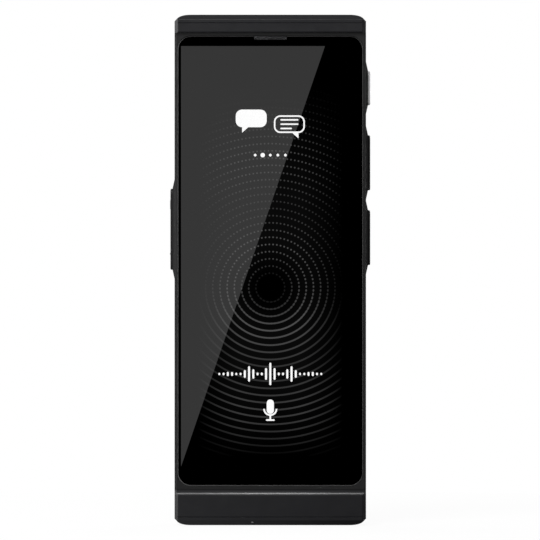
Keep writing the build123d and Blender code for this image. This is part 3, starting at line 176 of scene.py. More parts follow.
class Paint(Graph):
    """A node material around one Principled shader, in the frame's own coordinates."""

    def __init__(self, name, color, roughness, metallic=0.0, specular=0.5):
        self.material = bpy.data.materials.new(name)
        super().__init__(self.material)
        self.output = self.add("ShaderNodeOutputMaterial")
        self.shader = self.add("ShaderNodeBsdfPrincipled")
        self.link(self.shader.outputs["BSDF"], self.output.inputs["Surface"])
        self.coordinates = self.add("ShaderNodeTexCoord").outputs["Object"]
        self.put("Base Color", (*color, 1.0))
        self.put("Roughness", roughness)
        self.put("Metallic", metallic)
        self.put("Specular IOR Level", specular)
        self.color = color
        self.color_end = None
        self.bump_end = None

    def put(self, socket, value):
        """Sets one of the shader's own sockets."""
        self.shader.inputs[socket].default_value = value

    def feed(self, socket, value):
        """Links a value to one of the shader's own sockets."""
        self.link(value, self.shader.inputs[socket])

    def axes(self):
        """X, Y and Z of the frame's coordinates as sockets."""
        return self.split(self.coordinates)

    def stretched(self, scale):
        """Coordinates with their own scale along X, Y and Z."""
        mapping = self.add("ShaderNodeMapping")
        mapping.inputs["Scale"].default_value = scale
        self.link(self.coordinates, mapping.inputs["Vector"])
        return mapping.outputs["Vector"]

    def noise(self, size, detail=3.0, vector=None):
        """Noise whose grains are about size metres across."""
        node = self.add("ShaderNodeTexNoise")
        node.inputs["Scale"].default_value = 1.0 / size
        node.inputs["Detail"].default_value = detail
        self.link(vector or self.coordinates, node.inputs["Vector"])
        return node.outputs["Fac"]

    def cells(self, size, metric="EUCLIDEAN"):
        """Voronoi cells about size metres across: the distance and a number for each cell."""
        node = self.add("ShaderNodeTexVoronoi", distance=metric)
        node.inputs["Scale"].default_value = 1.0 / size
        self.link(self.coordinates, node.inputs["Vector"])
        channels = self.add("ShaderNodeSeparateColor")
        self.link(node.outputs["Color"], channels.inputs["Color"])
        return node.outputs["Distance"], channels.outputs["Red"]

    def inside(self, value, low, high):
        """One where a coordinate lies between two limits."""
        above = self.ranged(value, 0.0, 1.0, low - MASK_SOFT, low + MASK_SOFT)
        below = self.ranged(value, 1.0, 0.0, high - MASK_SOFT, high + MASK_SOFT)
        return self.product(above, below)

    def ripples(self, value, pitch):
        """Sine wave along a coordinate."""
        return self.math("SINE", self.product(value, 2 * math.pi / pitch))

    def stripes(self, value, pitch, share=0.5):
        """Soft-edged stripes along a coordinate."""
        wave, edge = self.ripples(value, pitch), math.cos(math.pi * share)
        return self.ranged(wave, 0.0, 1.0, edge - STRIPE_SOFT, edge + STRIPE_SOFT)

    def patch(self, centre, left, right, half):
        """One inside an upright rectangle about a centre."""
        x, _, z = self.axes()
        across = self.inside(x, centre.x + left, centre.x + right)
        return self.product(across, self.inside(z, centre.z - half, centre.z + half))

    def about(self, centre_x, centre_z):
        """X and Z from an axis that runs along Y, and the distance from it."""
        x, _, z = self.axes()
        across = self.math("SUBTRACT", x, centre_x)
        along = self.math("SUBTRACT", z, centre_z)
        square = self.math("MULTIPLY_ADD", along, along, self.product(across, across))
        return across, along, self.math("SQRT", square)

    def tint(self, value, dark, light):
        """Base colour that varies between two shades of the material's own colour."""
        shades = [[min(part * shade, 1.0) for part in self.color] for shade in (dark, light)]
        self.color_end = self.mixed(value, *shades).outputs["Result"]
        self.feed("Base Color", self.color_end)

    def overlay(self, mask, color):
        """Another colour where the mask is one."""
        mix = self.mixed(mask, self.color, color)
        if self.color_end:
            self.link(self.color_end, mix.inputs["A"])
        self.color_end = mix.outputs["Result"]
        self.feed("Base Color", self.color_end)

    def roughen(self, value, low, high):
        """Roughness that follows a value."""
        self.feed("Roughness", self.ranged(value, low, high))

    def bump(self, height, depth, strength=1.0):
        """Bump of that depth in metres, laid over any earlier bump."""
        node = self.add("ShaderNodeBump")
        node.inputs["Strength"].default_value = strength
        node.inputs["Distance"].default_value = depth
        self.link(height, node.inputs["Height"])
        if self.bump_end:
            self.link(self.bump_end, node.inputs["Normal"])
        self.bump_end = node.outputs["Normal"]
        self.feed("Normal", self.bump_end)

    def edges(self):
        """Mask of the convex edges, broken up as handling wears them."""
        bevel = self.add("ShaderNodeBevel", samples=4)
        bevel.inputs["Radius"].default_value = EDGE_REACH
        dot = self.add("ShaderNodeVectorMath", operation="DOT_PRODUCT")
        self.link(bevel.outputs["Normal"], dot.inputs[0])
        self.link(self.add("ShaderNodeNewGeometry").outputs["Normal"], dot.inputs[1])
        turned = self.ranged(dot.outputs["Value"], 1.0, 0.0, *EDGE_TURN)
        return self.product(turned, self.ranged(self.noise(EDGE_BREAKS, detail=4.0), 0.25, 1.0))


# ---------------------------------------- kinds of material
CLOUD_SIZE = 9 * MM
HANDLED_SIZE = 3 * MM
HANDLED_SPREAD = 0.03
GRAIN_SIZE = 0.12 * MM
GRAIN_DEPTH = 0.004 * MM
BRUSH_SIZE = 0.5 * MM
BRUSH_GRAIN = 0.2 * MM
BRUSH_DEPTH = 0.002 * MM
BRUSH_POLISH = 0.06
BRUSH_DULL = 0.08
POLISH_SIZE = 4 * MM
POLISH_SPREAD = 0.01
GLASS_IOR = 1.5
PANE_ROUGHNESS = 0.02
PANE_GLOSS = 0.04
PANE_POWER = 5.0
FOAM_CELL = 0.15 * MM
FOAM_DEPTH = 0.01 * MM
TRACK_PITCH = 0.6 * MM
TRACK_SHARE = 0.4
TRACK_FIELD = 5 * MM
TRACK_DEPTH = 0.02 * MM
HOLE_SPACING = 1.7 * MM
HOLE_RIM = (0.13, 0.16)
PLATED_GOLD = (0.75, 0.55, 0.2)
COPPER_PITCH = 0.7 * MM
COPPER_SHARE = 0.45
COPPER_DEPTH = 0.01 * MM
WEAVE_RAMP = (-0.2, 0.8)
WEAVE_DEPTH = 0.03 * MM
WELD_REACH = 0.001 * MM
BEVEL_WIDTH = 0.1 * MM
BEVEL_ANGLE = math.radians(38)


def plastic(name, color, roughness, grain=GRAIN_SIZE, depth=GRAIN_DEPTH, specular=0.5, worn=None):
    """Moulded plastic: fine grain, faint cloudiness, handled spots and slightly worn edges."""
    paint = Paint(name, color, roughness, specular=specular)
    paint.tint(paint.noise(CLOUD_SIZE, detail=4.0), dark=0.86, light=1.16)
    spots = paint.noise(HANDLED_SIZE, detail=5.0)
    paint.roughen(spots, roughness - HANDLED_SPREAD, roughness + HANDLED_SPREAD)
    if worn:
        paint.overlay(paint.edges(), worn)
    paint.bump(paint.noise(grain, detail=2.0), depth)
    return paint


def metal(name, color, roughness, brush=(1.0, 1.0, 12.0), depth=BRUSH_DEPTH):
    """Metal with fine lines across one axis and slightly uneven polish."""
    paint = Paint(name, color, roughness, metallic=1.0)
    brushed = paint.stretched(brush)
    lines = paint.noise(BRUSH_SIZE, detail=3.0, vector=brushed)
    paint.tint(lines, dark=0.88, light=1.08)
    paint.roughen(lines, roughness - BRUSH_POLISH, roughness + BRUSH_DULL)
    paint.bump(paint.noise(BRUSH_GRAIN, detail=2.0, vector=brushed), depth)
    return paint


def clear(name, color, roughness=0.0, ior=GLASS_IOR):
    """Clear glass or moulding with barely uneven polish."""
    paint = Paint(name, color, roughness)
    paint.put("Transmission Weight", 1.0)
    paint.put("IOR", ior)
    paint.roughen(paint.noise(POLISH_SIZE), roughness, roughness + POLISH_SPREAD)
    return paint


def pane(name, tint):
    """Thin clear pane that lets the lamps' light through, with its gloss on top."""
    paint = Paint(name, (1.0, 1.0, 1.0), PANE_ROUGHNESS, metallic=1.0)
    paint.roughen(paint.noise(POLISH_SIZE), 0.0, PANE_ROUGHNESS)
    through = paint.add("ShaderNodeBsdfTransparent")
    through.inputs["Color"].default_value = (*tint, 1.0)
    facing = paint.add("ShaderNodeLayerWeight")
    facing.inputs["Blend"].default_value = 0.5
    grazing = paint.math("POWER", facing.outputs["Facing"], PANE_POWER)
    gloss = paint.math("MULTIPLY_ADD", grazing, 1.0 - PANE_GLOSS, PANE_GLOSS)
    surface = paint.blend(gloss, through.outputs["BSDF"], paint.shader.outputs["BSDF"])
    paint.link(surface, paint.output.inputs["Surface"])
    return paint


def foam(name, color, cell=FOAM_CELL):
    """Foam tape or rubber with open cells."""
    paint = Paint(name, color, 0.85, specular=0.3)
    distance = paint.cells(cell)[0]
    paint.tint(distance, dark=0.7, light=1.3)
    paint.bump(distance, FOAM_DEPTH)
    return paint


def circuit(name, color):
    """Solder resist over copper tracks that run up or across, with plated holes."""
    paint = Paint(name, color, 0.35)
    x, _, z = paint.axes()
    turned = paint.math("GREATER_THAN", paint.cells(TRACK_FIELD, "CHEBYCHEV")[1], 0.5)
    upright, level = [paint.stripes(axis, TRACK_PITCH, TRACK_SHARE) for axis in (x, z)]
    tracks = paint.math("MULTIPLY_ADD", paint.math("SUBTRACT", level, upright), turned, upright)
    paint.tint(tracks, dark=0.8, light=1.9)
    holes = paint.ranged(paint.cells(HOLE_SPACING)[0], 1.0, 0.0, *HOLE_RIM)
    paint.overlay(holes, PLATED_GOLD)
    paint.feed("Metallic", holes)
    paint.bump(tracks, TRACK_DEPTH)
    return paint


def film(name, color, line_color):
    """Flexible printed circuit: polyimide film with copper lines."""
    paint = Paint(name, color, 0.35)
    lines = paint.stripes(paint.axes()[0], COPPER_PITCH, COPPER_SHARE)
    paint.tint(paint.noise(2 * MM), dark=0.85, light=1.15)
    paint.overlay(lines, line_color)
    paint.bump(lines, COPPER_DEPTH)
    return paint


def mesh_paint(name, color, pitch, metallic):
    """Woven mesh: crossing threads with dark gaps."""
    paint = Paint(name, color, 0.45, metallic=metallic)
    x, _, z = paint.axes()
    weave = paint.math("MAXIMUM", paint.ripples(x, pitch), paint.ripples(z, pitch))
    paint.tint(paint.ranged(weave, 0.0, 1.0, *WEAVE_RAMP), dark=0.08, light=1.25)
    paint.bump(weave, WEAVE_DEPTH)
    return paint


def wear(paint, *names):
    """Gives CAD nodes their material."""
    for name in names:
        mesh = nodes[name].data
        mesh.materials.clear()
        mesh.materials.append(paint.material)


def soften(*names):
    """Rounds the sharp edges of CAD nodes by a modifier."""
    for name in names:
        thing = nodes[name]
        weld = thing.modifiers.new("weld", "WELD")
        weld.merge_threshold = WELD_REACH
        bevel = thing.modifiers.new("bevel", "BEVEL")
        bevel.width = BEVEL_WIDTH
        bevel.segments = 2
        bevel.limit_method = "ANGLE"
        bevel.angle_limit = BEVEL_ANGLE
        bevel.harden_normals = True


# ---------------------------------------- materials of the outside
LIP_Z = bottom_low.z + 9.0 * MM
# Painted highlight: a pale line along the bottom cap's rounded lip, brightest in the middle.
LIP_HIGHLIGHT_COLOR = (0.36, 0.36, 0.365)
LIP_RISE = (LIP_Z - 0.42 * MM, LIP_Z - 0.15 * MM)
LIP_MIDDLE = (6 * MM, 20 * MM)
# Painted glow of light on the cap's front just below and above the lip.
LIP_PAINTED_GLOW = (0.055, 0.055, 0.057)
GLOW_RISE = (LIP_Z - 0.9 * MM, LIP_Z - 0.3 * MM)
GLOW_FALL = (LIP_Z + 0.1 * MM, LIP_Z + 0.55 * MM)
GLOW_DEPTH = 0.6 * MM
EDGE_SLACK = 0.01 * MM
# Colour of the dark seam line, and of the painted shade on the frame under the top cap.
SEAM_AND_SHADE_COLOR = (0.003, 0.003, 0.003)
SEAM_REACH = (0.06 * MM, 0.14 * MM)
# Painted shade starts this far below the glass's top and darkens towards the top cap.
SHADE_BELOW_GLASS_TOP = 0.3 * MM
GROUND_COLOR = (0.12, 0.12, 0.12)
# Painted highlight along the ground edge's lower end and painted shade along its upper end.
GROUND_LOWER_HIGHLIGHT = (0.27, 0.27, 0.27)
GROUND_UPPER_SHADE = (0.02, 0.02, 0.02)
GROUND_DENSITY = 0.8
GROUND_TURN = (0.8, 0.95)
GROUND_END = 0.4 * MM
GROUND_FADE = 3 * MM
SIGN_TOPS = (rocker_low.x + 0.04 * MM, rocker_low.x + 0.07 * MM)
SIGN_GREY = (0.12, 0.12, 0.12)
KEY_LOOK = {
    "color": (0.0065, 0.0065, 0.0068),
    "roughness": 0.38,
    "specular": 0.35,
    "worn": (0.04, 0.04, 0.041),
}


def dark_seam_line(paint, z):
    """Mask of the fine dark line where the bottom cap meets the frame."""
    off = paint.math("ABSOLUTE", paint.math("SUBTRACT", z, bottom_high.z))
    return paint.ranged(off, 0.9, 0.0, *SEAM_REACH)


def cap_material():
    """Satin end cap with a pale line painted along its rounded lip beside the frame as a
    highlight, brightest in the middle, a painted glow of light just below and above the lip, and a
    dark line at the seam.
    """
    worn = (0.03, 0.03, 0.032)
    paint = plastic("cap_satin_black", (0.009, 0.009, 0.0108), 0.38, worn=worn)
    x, y, z = paint.axes()
    across = paint.ranged(paint.math("ABSOLUTE", x), 1.0, 0.5, *LIP_MIDDLE)
    # Painted glow of light around the lip on the cap's front, brightest in the middle.
    rise = paint.ranged(z, 0.0, 1.0, *GLOW_RISE)
    painted_glow = paint.product(paint.ranged(z, 1.0, 0.0, *GLOW_FALL), rise, across)
    forward = paint.math("LESS_THAN", y, glass_low.y + GLOW_DEPTH)
    paint.overlay(paint.product(painted_glow, forward), LIP_PAINTED_GLOW)
    # Painted highlight: a pale line along the rounded lip, fading towards the sides.
    below_top = paint.math("LESS_THAN", z, LIP_Z + EDGE_SLACK)
    proud = paint.math("LESS_THAN", y, glass_low.y - EDGE_SLACK)
    uneven = paint.ranged(paint.noise(2 * MM), 0.85, 1.0)
    lip_highlight = paint.product(paint.ranged(z, 0.0, 1.0, *LIP_RISE), below_top, proud, uneven)
    paint.overlay(paint.product(lip_highlight, across), LIP_HIGHLIGHT_COLOR)
    paint.overlay(dark_seam_line(paint, z), SEAM_AND_SHADE_COLOR)
    return paint


def frame_material():
    """Satin frame with a dark line at its seam with the bottom cap, and painted shade that darkens
    the strip above the glass towards the top cap.
    """
    # Edges lighter than on the other parts: wear, and a painted highlight along them.
    worn = (0.055, 0.055, 0.056)
    paint = plastic("frame_satin_black", (0.021, 0.021, 0.0213), 0.48, specular=0.06, worn=worn)
    z = paint.axes()[2]
    paint.overlay(dark_seam_line(paint, z), SEAM_AND_SHADE_COLOR)
    # Painted shade on the frame above the glass, darkening towards the top cap.
    paint.overlay(paint.ranged(z, 0.0, 0.7, glass_high.z - SHADE_BELOW_GLASS_TOP, top_low.z), SEAM_AND_SHADE_COLOR)
    return paint


def glass_material():
    """Clear front glass whose chamfer and sides are finely ground, the ground edge with a painted
    highlight along its lower end and painted shade along its upper end.
    """
    paint = clear("cover_glass_clear", (1.0, 1.0, 1.0))
    normal = paint.split(paint.add("ShaderNodeNewGeometry").outputs["True Normal"])
    ground = paint.ranged(paint.math("ABSOLUTE", normal[1]), 1.0, 0.0, *GROUND_TURN)
    z = paint.axes()[2]
    lower = paint.ranged(z, 1.0, 0.0, glass_low.z + GROUND_END, glass_low.z + GROUND_FADE)
    upper = paint.ranged(z, 0.0, 1.0, glass_high.z - GROUND_FADE, glass_high.z - GROUND_END)
    paint.overlay(ground, GROUND_COLOR)
    # Painted highlight along the lower end of the ground edge, painted shade along its upper end.
    paint.overlay(paint.product(ground, lower), GROUND_LOWER_HIGHLIGHT)
    paint.overlay(paint.product(ground, upper), GROUND_UPPER_SHADE)
    paint.roughen(ground, 0.0, 0.5)
    clearness = paint.math("MULTIPLY_ADD", ground, -GROUND_DENSITY, 1.0)
    paint.feed("Transmission Weight", clearness)
    return paint


def rocker_material():
    """Key material whose raised signs are rubbed to a paler grey."""
    paint = plastic("rocker_satin_black", **KEY_LOOK)
    paint.overlay(paint.ranged(paint.axes()[0], 1.0, 0.0, *SIGN_TOPS), SIGN_GREY)
    return paint


cover_paint = plastic(
    "cover_soft_black", (0.013, 0.013, 0.0134), 0.5, specular=0.3, worn=(0.03, 0.03, 0.031)
)
tray_paint = plastic(
    "tray_satin_black", (0.0085, 0.0085, 0.009), 0.42, specular=0.3, worn=(0.035, 0.035, 0.036)
)
key_paint = plastic("key_satin_black", **KEY_LOOK)
silver_paint = metal("power_key_anodised", (0.92, 0.92, 0.93), 0.4, depth=0.001 * MM)
silver_paint.put("Metallic", 0.15)
trim_paint = metal("camera_trim_anodised", (0.14, 0.14, 0.15), 0.32)
window_paint = pane("camera_window_clear", (0.94, 0.95, 0.96))
ink_paint = Paint("print_black", (0.0, 0.0, 0.0), 0.9, specular=0.0)

wear(frame_material(), "front_frame")
wear(cap_material(), "top_cap", "bottom_cap")
wear(cover_paint, "back_cover")
wear(silver_paint, "power_button")
wear(key_paint, "talk_button_upper", "talk_button_lower")
wear(rocker_material(), "volume_rocker")
wear(tray_paint, "sim_tray")
wear(trim_paint, "camera_trim")
wear(glass_material(), "cover_glass")
wear(ink_paint, "glass_ink_border")
wear(window_paint, "camera_window")
soften("front_frame", "back_cover", "camera_trim", "sim_tray")

# ---------------------------------------- materials of the inside
# Scale of the brushing along X, Y and Z.
ROLLED = (1.0, 1.0, 1.0)
WOUND = (3.0, 3.0, 3.0)
DRAWN = (6.0, 6.0, 1.0)
STAMPED = (4.0, 4.0, 1.0)
MILLED = (1.0, 8.0, 8.0)
FOLD_SIZE = 6 * MM
FOLD_DEPTH = 0.15 * MM
POUCH_TAPE = 7 * MM
PAD_LEFT = -4.6 * MM
PAD_RIGHT = 1.8 * MM
PAD_HALF = 3 * MM
PAD_FIELDS = (3.2 * MM, 1.5 * MM)
PAD_DEPTH = 0.03 * MM
PHOSPHOR_HALF = 0.9 * MM
PHOSPHOR_DEPTH = 0.003 * MM
RING_PITCH = 0.25 * MM
THREAD_PITCH = 0.3 * MM
TURNED_DEPTH = 0.02 * MM
CONE_EDGE = (4.2 * MM, 4.25 * MM)
CONE_PITCH = 1.2 * MM
CONE_DEPTH = 0.1 * MM


def foil_material():
    """Battery pouch: wrinkled foil with a dark tape over its upper end."""
    paint = Paint("battery_foil", (0.42, 0.43, 0.45), 0.34, metallic=0.9)
    folds = paint.noise(FOLD_SIZE, detail=5.0)
    paint.tint(folds, dark=0.8, light=1.15)
    taped = paint.inside(paint.axes()[2], battery_high.z - POUCH_TAPE, battery_high.z + MM)
    paint.overlay(taped, (0.03, 0.03, 0.03))
    paint.roughen(folds, 0.25, 0.45)
    paint.bump(folds, FOLD_DEPTH, strength=0.6)
    return paint


def card_material():
    """White SIM card with a gold contact pad cut into fields."""
    paint = Paint("sim_card_white", (0.78, 0.78, 0.76), 0.45)
    paint.tint(paint.noise(1.5 * MM), dark=0.96, light=1.03)
    centre = middle(card_low, card_high)
    across, along, _ = paint.about(centre.x, centre.z)
    fields = paint.product(
        paint.stripes(across, PAD_FIELDS[0], share=0.93),
        paint.stripes(along, PAD_FIELDS[1], share=0.9),
    )
    pad = paint.product(paint.patch(centre, PAD_LEFT, PAD_RIGHT, PAD_HALF), fields)
    paint.overlay(pad, (0.8, 0.58, 0.22))
    paint.feed("Metallic", pad)
    paint.bump(pad, PAD_DEPTH)
    return paint


def led_material():
    """Flash light: a white case with a yellow square of phosphor."""
    paint = Paint("flash_phosphor", (0.8, 0.8, 0.78), 0.4)
    dot = paint.patch(middle(led_low, led_high), -PHOSPHOR_HALF, PHOSPHOR_HALF, PHOSPHOR_HALF)
    paint.tint(paint.noise(0.5 * MM), dark=0.95, light=1.05)
    paint.overlay(dot, (0.75, 0.55, 0.06))
    paint.bump(paint.noise(0.1 * MM), PHOSPHOR_DEPTH)
    return paint


def barrel_material():
    """Black lens barrel with fine turned rings and threads."""
    paint = Paint("lens_black", (0.008, 0.008, 0.009), 0.38)
    centre = middle(lens_low, lens_high)
    reach = paint.about(centre.x, centre.z)[2]
    paint.tint(paint.noise(MM), dark=0.8, light=1.3)
    paint.bump(paint.stripes(reach, RING_PITCH), TURNED_DEPTH)
    paint.bump(paint.stripes(paint.axes()[1], THREAD_PITCH), TURNED_DEPTH)
    return paint


def cone_material():
    """Speaker driver: grey steel basket with a dark ringed cone."""
    paint = Paint("driver_steel", (0.3, 0.3, 0.31), 0.35, metallic=0.9)
    centre = middle(*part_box("speaker_driver"))
    reach = paint.about(centre.x, centre.z)[2]
    paint.tint(paint.noise(MM), dark=0.9, light=1.1)
    paint.overlay(paint.ranged(reach, 1.0, 0.0, *CONE_EDGE), (0.02, 0.02, 0.022))
    paint.bump(paint.stripes(reach, CONE_PITCH), CONE_DEPTH)
    return paint


steel_paint = metal("rolled_steel", (0.55, 0.56, 0.58), 0.35)
tin_paint = metal("tinned_shield", (0.6, 0.6, 0.6), 0.28, brush=ROLLED)
nickel_paint = metal("nickel_shell", (0.66, 0.65, 0.62), 0.22, brush=DRAWN)
screw_paint = metal("black_screw", (0.2, 0.2, 0.21), 0.35, brush=WOUND)
gold_paint = metal("gold_contact", (0.85, 0.62, 0.25), 0.25, brush=STAMPED)
tungsten_paint = metal("tungsten_weight", (0.3, 0.3, 0.31), 0.4, brush=MILLED)
part_paint = plastic("moulded_black", (0.012, 0.012, 0.012), 0.5, grain=0.2 * MM)
chip_paint = plastic("chip_epoxy", (0.018, 0.018, 0.02), 0.62, grain=0.08 * MM, depth=0.006 * MM)
tan_paint = plastic("connector_nylon", (0.35, 0.3, 0.2), 0.5, grain=0.2 * MM)
tape_paint = foam("adhesive_tape", (0.02, 0.02, 0.02))
foam_paint = foam("black_foam", (0.025, 0.025, 0.026), cell=0.25 * MM)
rubber_paint = foam("black_rubber", (0.03, 0.03, 0.03), cell=0.4 * MM)
coax_paint = plastic("coax_jacket", (0.02, 0.02, 0.022), 0.35, grain=0.3 * MM)
board_paint = circuit("board_green", (0.012, 0.07, 0.032))
ribbon_paint = film("ribbon_amber", (0.4, 0.19, 0.045), (0.62, 0.33, 0.1))
antenna_paint = film("antenna_copper", (0.12, 0.07, 0.03), (0.8, 0.45, 0.25))
ear_paint = mesh_paint("mesh_dark", (0.02, 0.02, 0.021), pitch=0.2 * MM, metallic=0.5)
grille_paint = mesh_paint("mesh_speaker", (0.05, 0.05, 0.052), pitch=0.22 * MM, metallic=0.8)
guide_paint = clear("light_guide_clear", (0.9, 0.88, 0.78), 0.15)
guide_paint.put("Transmission Weight", 0.55)

wear(foil_material(), "battery_cell")
wear(card_material(), "sim_card")
wear(led_material(), "flash_led")
wear(barrel_material(), "camera_lens_barrel")
wear(cone_material(), "speaker_driver")
wear(steel_paint, "mid_plate", "key_bracket_right", "key_bracket_left")
wear(steel_paint, "key_switches_right", "key_switches_left")
wear(steel_paint, "sim_connector", "vibration_motor_case")
wear(tin_paint, "processor_shield", "radio_shield", "microphones")
wear(nickel_paint, "usb_c_shell")
wear(screw_paint, "board_screws", "cap_screws")
wear(tungsten_paint, "vibration_motor_weight")
wear(part_paint, "earpiece_receiver", "camera_module", "usb_c_tongue", "speaker_enclosure")
wear(chip_paint, "processor_chip", "memory_chip", "radio_chip")
wear(tan_paint, "board_connectors")
wear(tape_paint, "back_cover_tape", "glass_tape", "battery_adhesive")
wear(foam_paint, "display_foam", "speaker_gasket")
wear(rubber_paint, "motor_boot")
wear(coax_paint, "antenna_coax")
wear(board_paint, "main_board", "sub_board", "battery_protection_board")
wear(ribbon_paint, "display_ribbon", "board_link_ribbon", "battery_ribbon")
wear(ribbon_paint, "key_flex_right", "key_flex_left")
wear(antenna_paint, "antennas")
wear(ear_paint, "earpiece_mesh")
wear(grille_paint, "speaker_mesh")
wear(guide_paint, "flash_light_guide")

# ---------------------------------------- screen picture
# Ends of the painted reflection band's slanting edge, in pixels of the view.
BAND_TOP = (325.0, 46.0)
BAND_LOW = (180.9, 467.0)
REFLECTION_BAND_LEVEL = 0.040
BAND_SOFT = 0.05 * MM
RIPPLE_CENTRE = (0.0, 66 * MM)
RIPPLE_PITCH = 2.0 * MM
RIPPLE_LEVEL = 0.088
GLOW_LEVEL = 0.003
DOT_PITCH = 1.05 * MM
DOT_RADIUS = 0.23 * MM
DOT_EDGE = (0.7 * DOT_RADIUS, 1.2 * DOT_RADIUS)
DOT_START = 0.25
DOT_MERGE = (-14 * MM, 6 * MM)
# Keeps the count of dots round a ring above zero.
WHOLE_TURNS = 1000.0
FADE_SIDE = (9 * MM, 20 * MM)
FADE_BELOW = (-47 * MM, -24 * MM)
FADE_ABOVE = (26 * MM, 56 * MM)
FADE_MIDDLE = (3 * MM, 12 * MM)
SWELL_LENGTH = 5.0 * MM
SWELL_LEAST = 0.35
PANEL_FACE = 0.2 * MM
PANEL_DEPTH = 0.01 * MM


def painted_reflection_band(paint, x, z):
    """Painted reflection: the lighter part of the picture, left of a slanting edge."""
    top_x, top_z = pixel_x(BAND_TOP[0]), pixel_z(BAND_TOP[1])
    low_x, low_z = pixel_x(BAND_LOW[0]), pixel_z(BAND_LOW[1])
    slope = (top_x - low_x) / (top_z - low_z)
    edge = paint.math("MULTIPLY_ADD", z, slope, low_x - slope * low_z)
    return paint.ranged(paint.math("SUBTRACT", edge, x), 0.0, REFLECTION_BAND_LEVEL, -BAND_SOFT, BAND_SOFT)


def ripple(paint):
    """Faint rings of dots round the middle, and a fainter glow behind them."""
    across, along, reach = paint.about(*RIPPLE_CENTRE)
    ring = paint.math("ROUND", paint.math("DIVIDE", reach, RIPPLE_PITCH))
    ring_radius = paint.product(ring, RIPPLE_PITCH)
    length = paint.product(ring_radius, 2 * math.pi)
    count = paint.math("ROUND", paint.math("DIVIDE", length, DOT_PITCH))
    count = paint.math("MAXIMUM", count, 1.0)
    angle = paint.math("DIVIDE", paint.math("ARCTAN2", along, across), 2 * math.pi)
    turns = paint.math("MULTIPLY_ADD", angle, count, DOT_START)
    share = paint.math("FRACT", paint.math("ADD", turns, WHOLE_TURNS))
    gap = paint.product(paint.math("SUBTRACT", share, 0.5), paint.math("DIVIDE", length, count))
    off = paint.math("SUBTRACT", reach, ring_radius)
    apart = paint.product(gap, paint.ranged(along, 0.0, 1.0, *DOT_MERGE))
    square = paint.math("MULTIPLY_ADD", apart, apart, paint.product(off, off))
    dot = paint.ranged(paint.math("SQRT", square), 1.0, 0.0, *DOT_EDGE)
    rise = paint.ranged(along, 0.0, 1.0, *FADE_BELOW)
    tall = paint.product(rise, paint.ranged(along, 1.0, 0.0, *FADE_ABOVE))
    wide = paint.ranged(paint.math("ABSOLUTE", across), 1.0, 0.0, *FADE_SIDE)
    fade = paint.product(wide, tall, paint.ranged(reach, 0.0, 1.0, *FADE_MIDDLE))
    swell = paint.math("SINE", paint.math("DIVIDE", reach, SWELL_LENGTH))
    lit = paint.product(fade, paint.ranged(swell, SWELL_LEAST, 1.0, -1.0, 1.0))
    dots = paint.product(dot, paint.product(lit, RIPPLE_LEVEL))
    return paint.math("MULTIPLY_ADD", fade, GLOW_LEVEL, dots)


def screen_material():
    """Dark picture on the panel's front with a painted reflection band in it, and its pale
    reflector on the other sides.
    """
    paint = Paint("screen_picture", (0.0, 0.0, 0.0), 0.6, specular=0.0)
    x, y, z = paint.axes()
    front = paint.math("LESS_THAN", y, panel_low.y + PANEL_FACE)
    back = paint.math("SUBTRACT", 1.0, front)
    paint.overlay(back, (0.6, 0.6, 0.58))
    # Picture on the front: the painted reflection band and the rings of dots.
    level = paint.product(paint.math("ADD", painted_reflection_band(paint, x, z), ripple(paint)), front)
    color = paint.add("ShaderNodeCombineColor")
    for channel in ("Red", "Green", "Blue"):
        paint.link(level, color.inputs[channel])
    paint.put("Emission Strength", 1.0)
    paint.feed("Emission Color", color.outputs["Color"])
    paint.bump(paint.product(paint.noise(0.8 * MM), back), PANEL_DEPTH)
    return paint


wear(screen_material(), "display_panel")


# ---------------------------------------- piece helpers
def piece(name, form, body, paint, smooth=False):
    """A new piece that rides on a body and wears the given paint."""
    bmesh.ops.recalc_face_normals(form, faces=form.faces)
    mesh = bpy.data.meshes.new(name)
    form.to_mesh(mesh)
    form.free()
    for face in mesh.polygons:
        face.use_smooth = smooth
    mesh.materials.append(paint.material)
    thing = bpy.data.objects.new(name, mesh)
    bpy.context.scene.collection.objects.link(thing)
    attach(thing, body)


def skin(form, rings):
    """Faces between each closed ring of points and the next."""
    for first, second in zip(rings, rings[1:]):
        for place in range(len(first)):
            after = (place + 1) % len(first)
            form.faces.new((first[place], first[after], second[after], second[place]))


def slab(form, points, y0, y1):
    """Closed flat form from an outline in X and Z."""
    near, far = [[form.verts.new((x, y, z)) for x, z in points] for y in (y0, y1)]
    form.faces.new(near)
    form.faces.new(far[::-1])
    skin(form, (near, far))


def hoop(form, outer, inner, y0, y1):
    """Closed flat ring between two outlines with as many points."""
    near_outer, near_inner, far_outer, far_inner = [
        [form.verts.new((x, y, z)) for x, z in line] for y in (y0, y1) for line in (outer, inner)
    ]
    skin(form, (near_outer, near_inner, far_inner, far_outer, near_outer))


def arc(x, z, radius, start, end, steps):
    """Points round a centre between two angles in degrees."""
    points = []
    for step in range(steps + 1):
        angle = math.radians(start + (end - start) * step / steps)
        points.append((x + radius * math.cos(angle), z + radius * math.sin(angle)))
    return points


def pill(x, z, width, height, steps=12):
    """Outline with round ends, upright or level."""
    radius = min(width, height) / 2
    up, across = max(height - width, 0.0) / 2, max(width - height, 0.0) / 2
    start = -90 if width > height else 0
    outline = arc(x + across, z + up, radius, start, start + 180, steps)
    return outline + arc(x - across, z - up, radius, start + 180, start + 360, steps)


def box_outline(x, z, width, height, corner, steps=6):
    """Rectangle with round corners."""
    across, up = width / 2 - corner, height / 2 - corner
    points = []
    for turn, (side_x, side_z) in enumerate(((1, 1), (-1, 1), (-1, -1), (1, -1))):
        start = 90 * turn
        points += arc(x + side_x * across, z + side_z * up, corner, start, start + 90, steps)
    return points


def disc(x, z, radius, steps=64):
    """Points round a full circle."""
    return arc(x, z, radius, 0, 360 - 360 / steps, steps - 1)


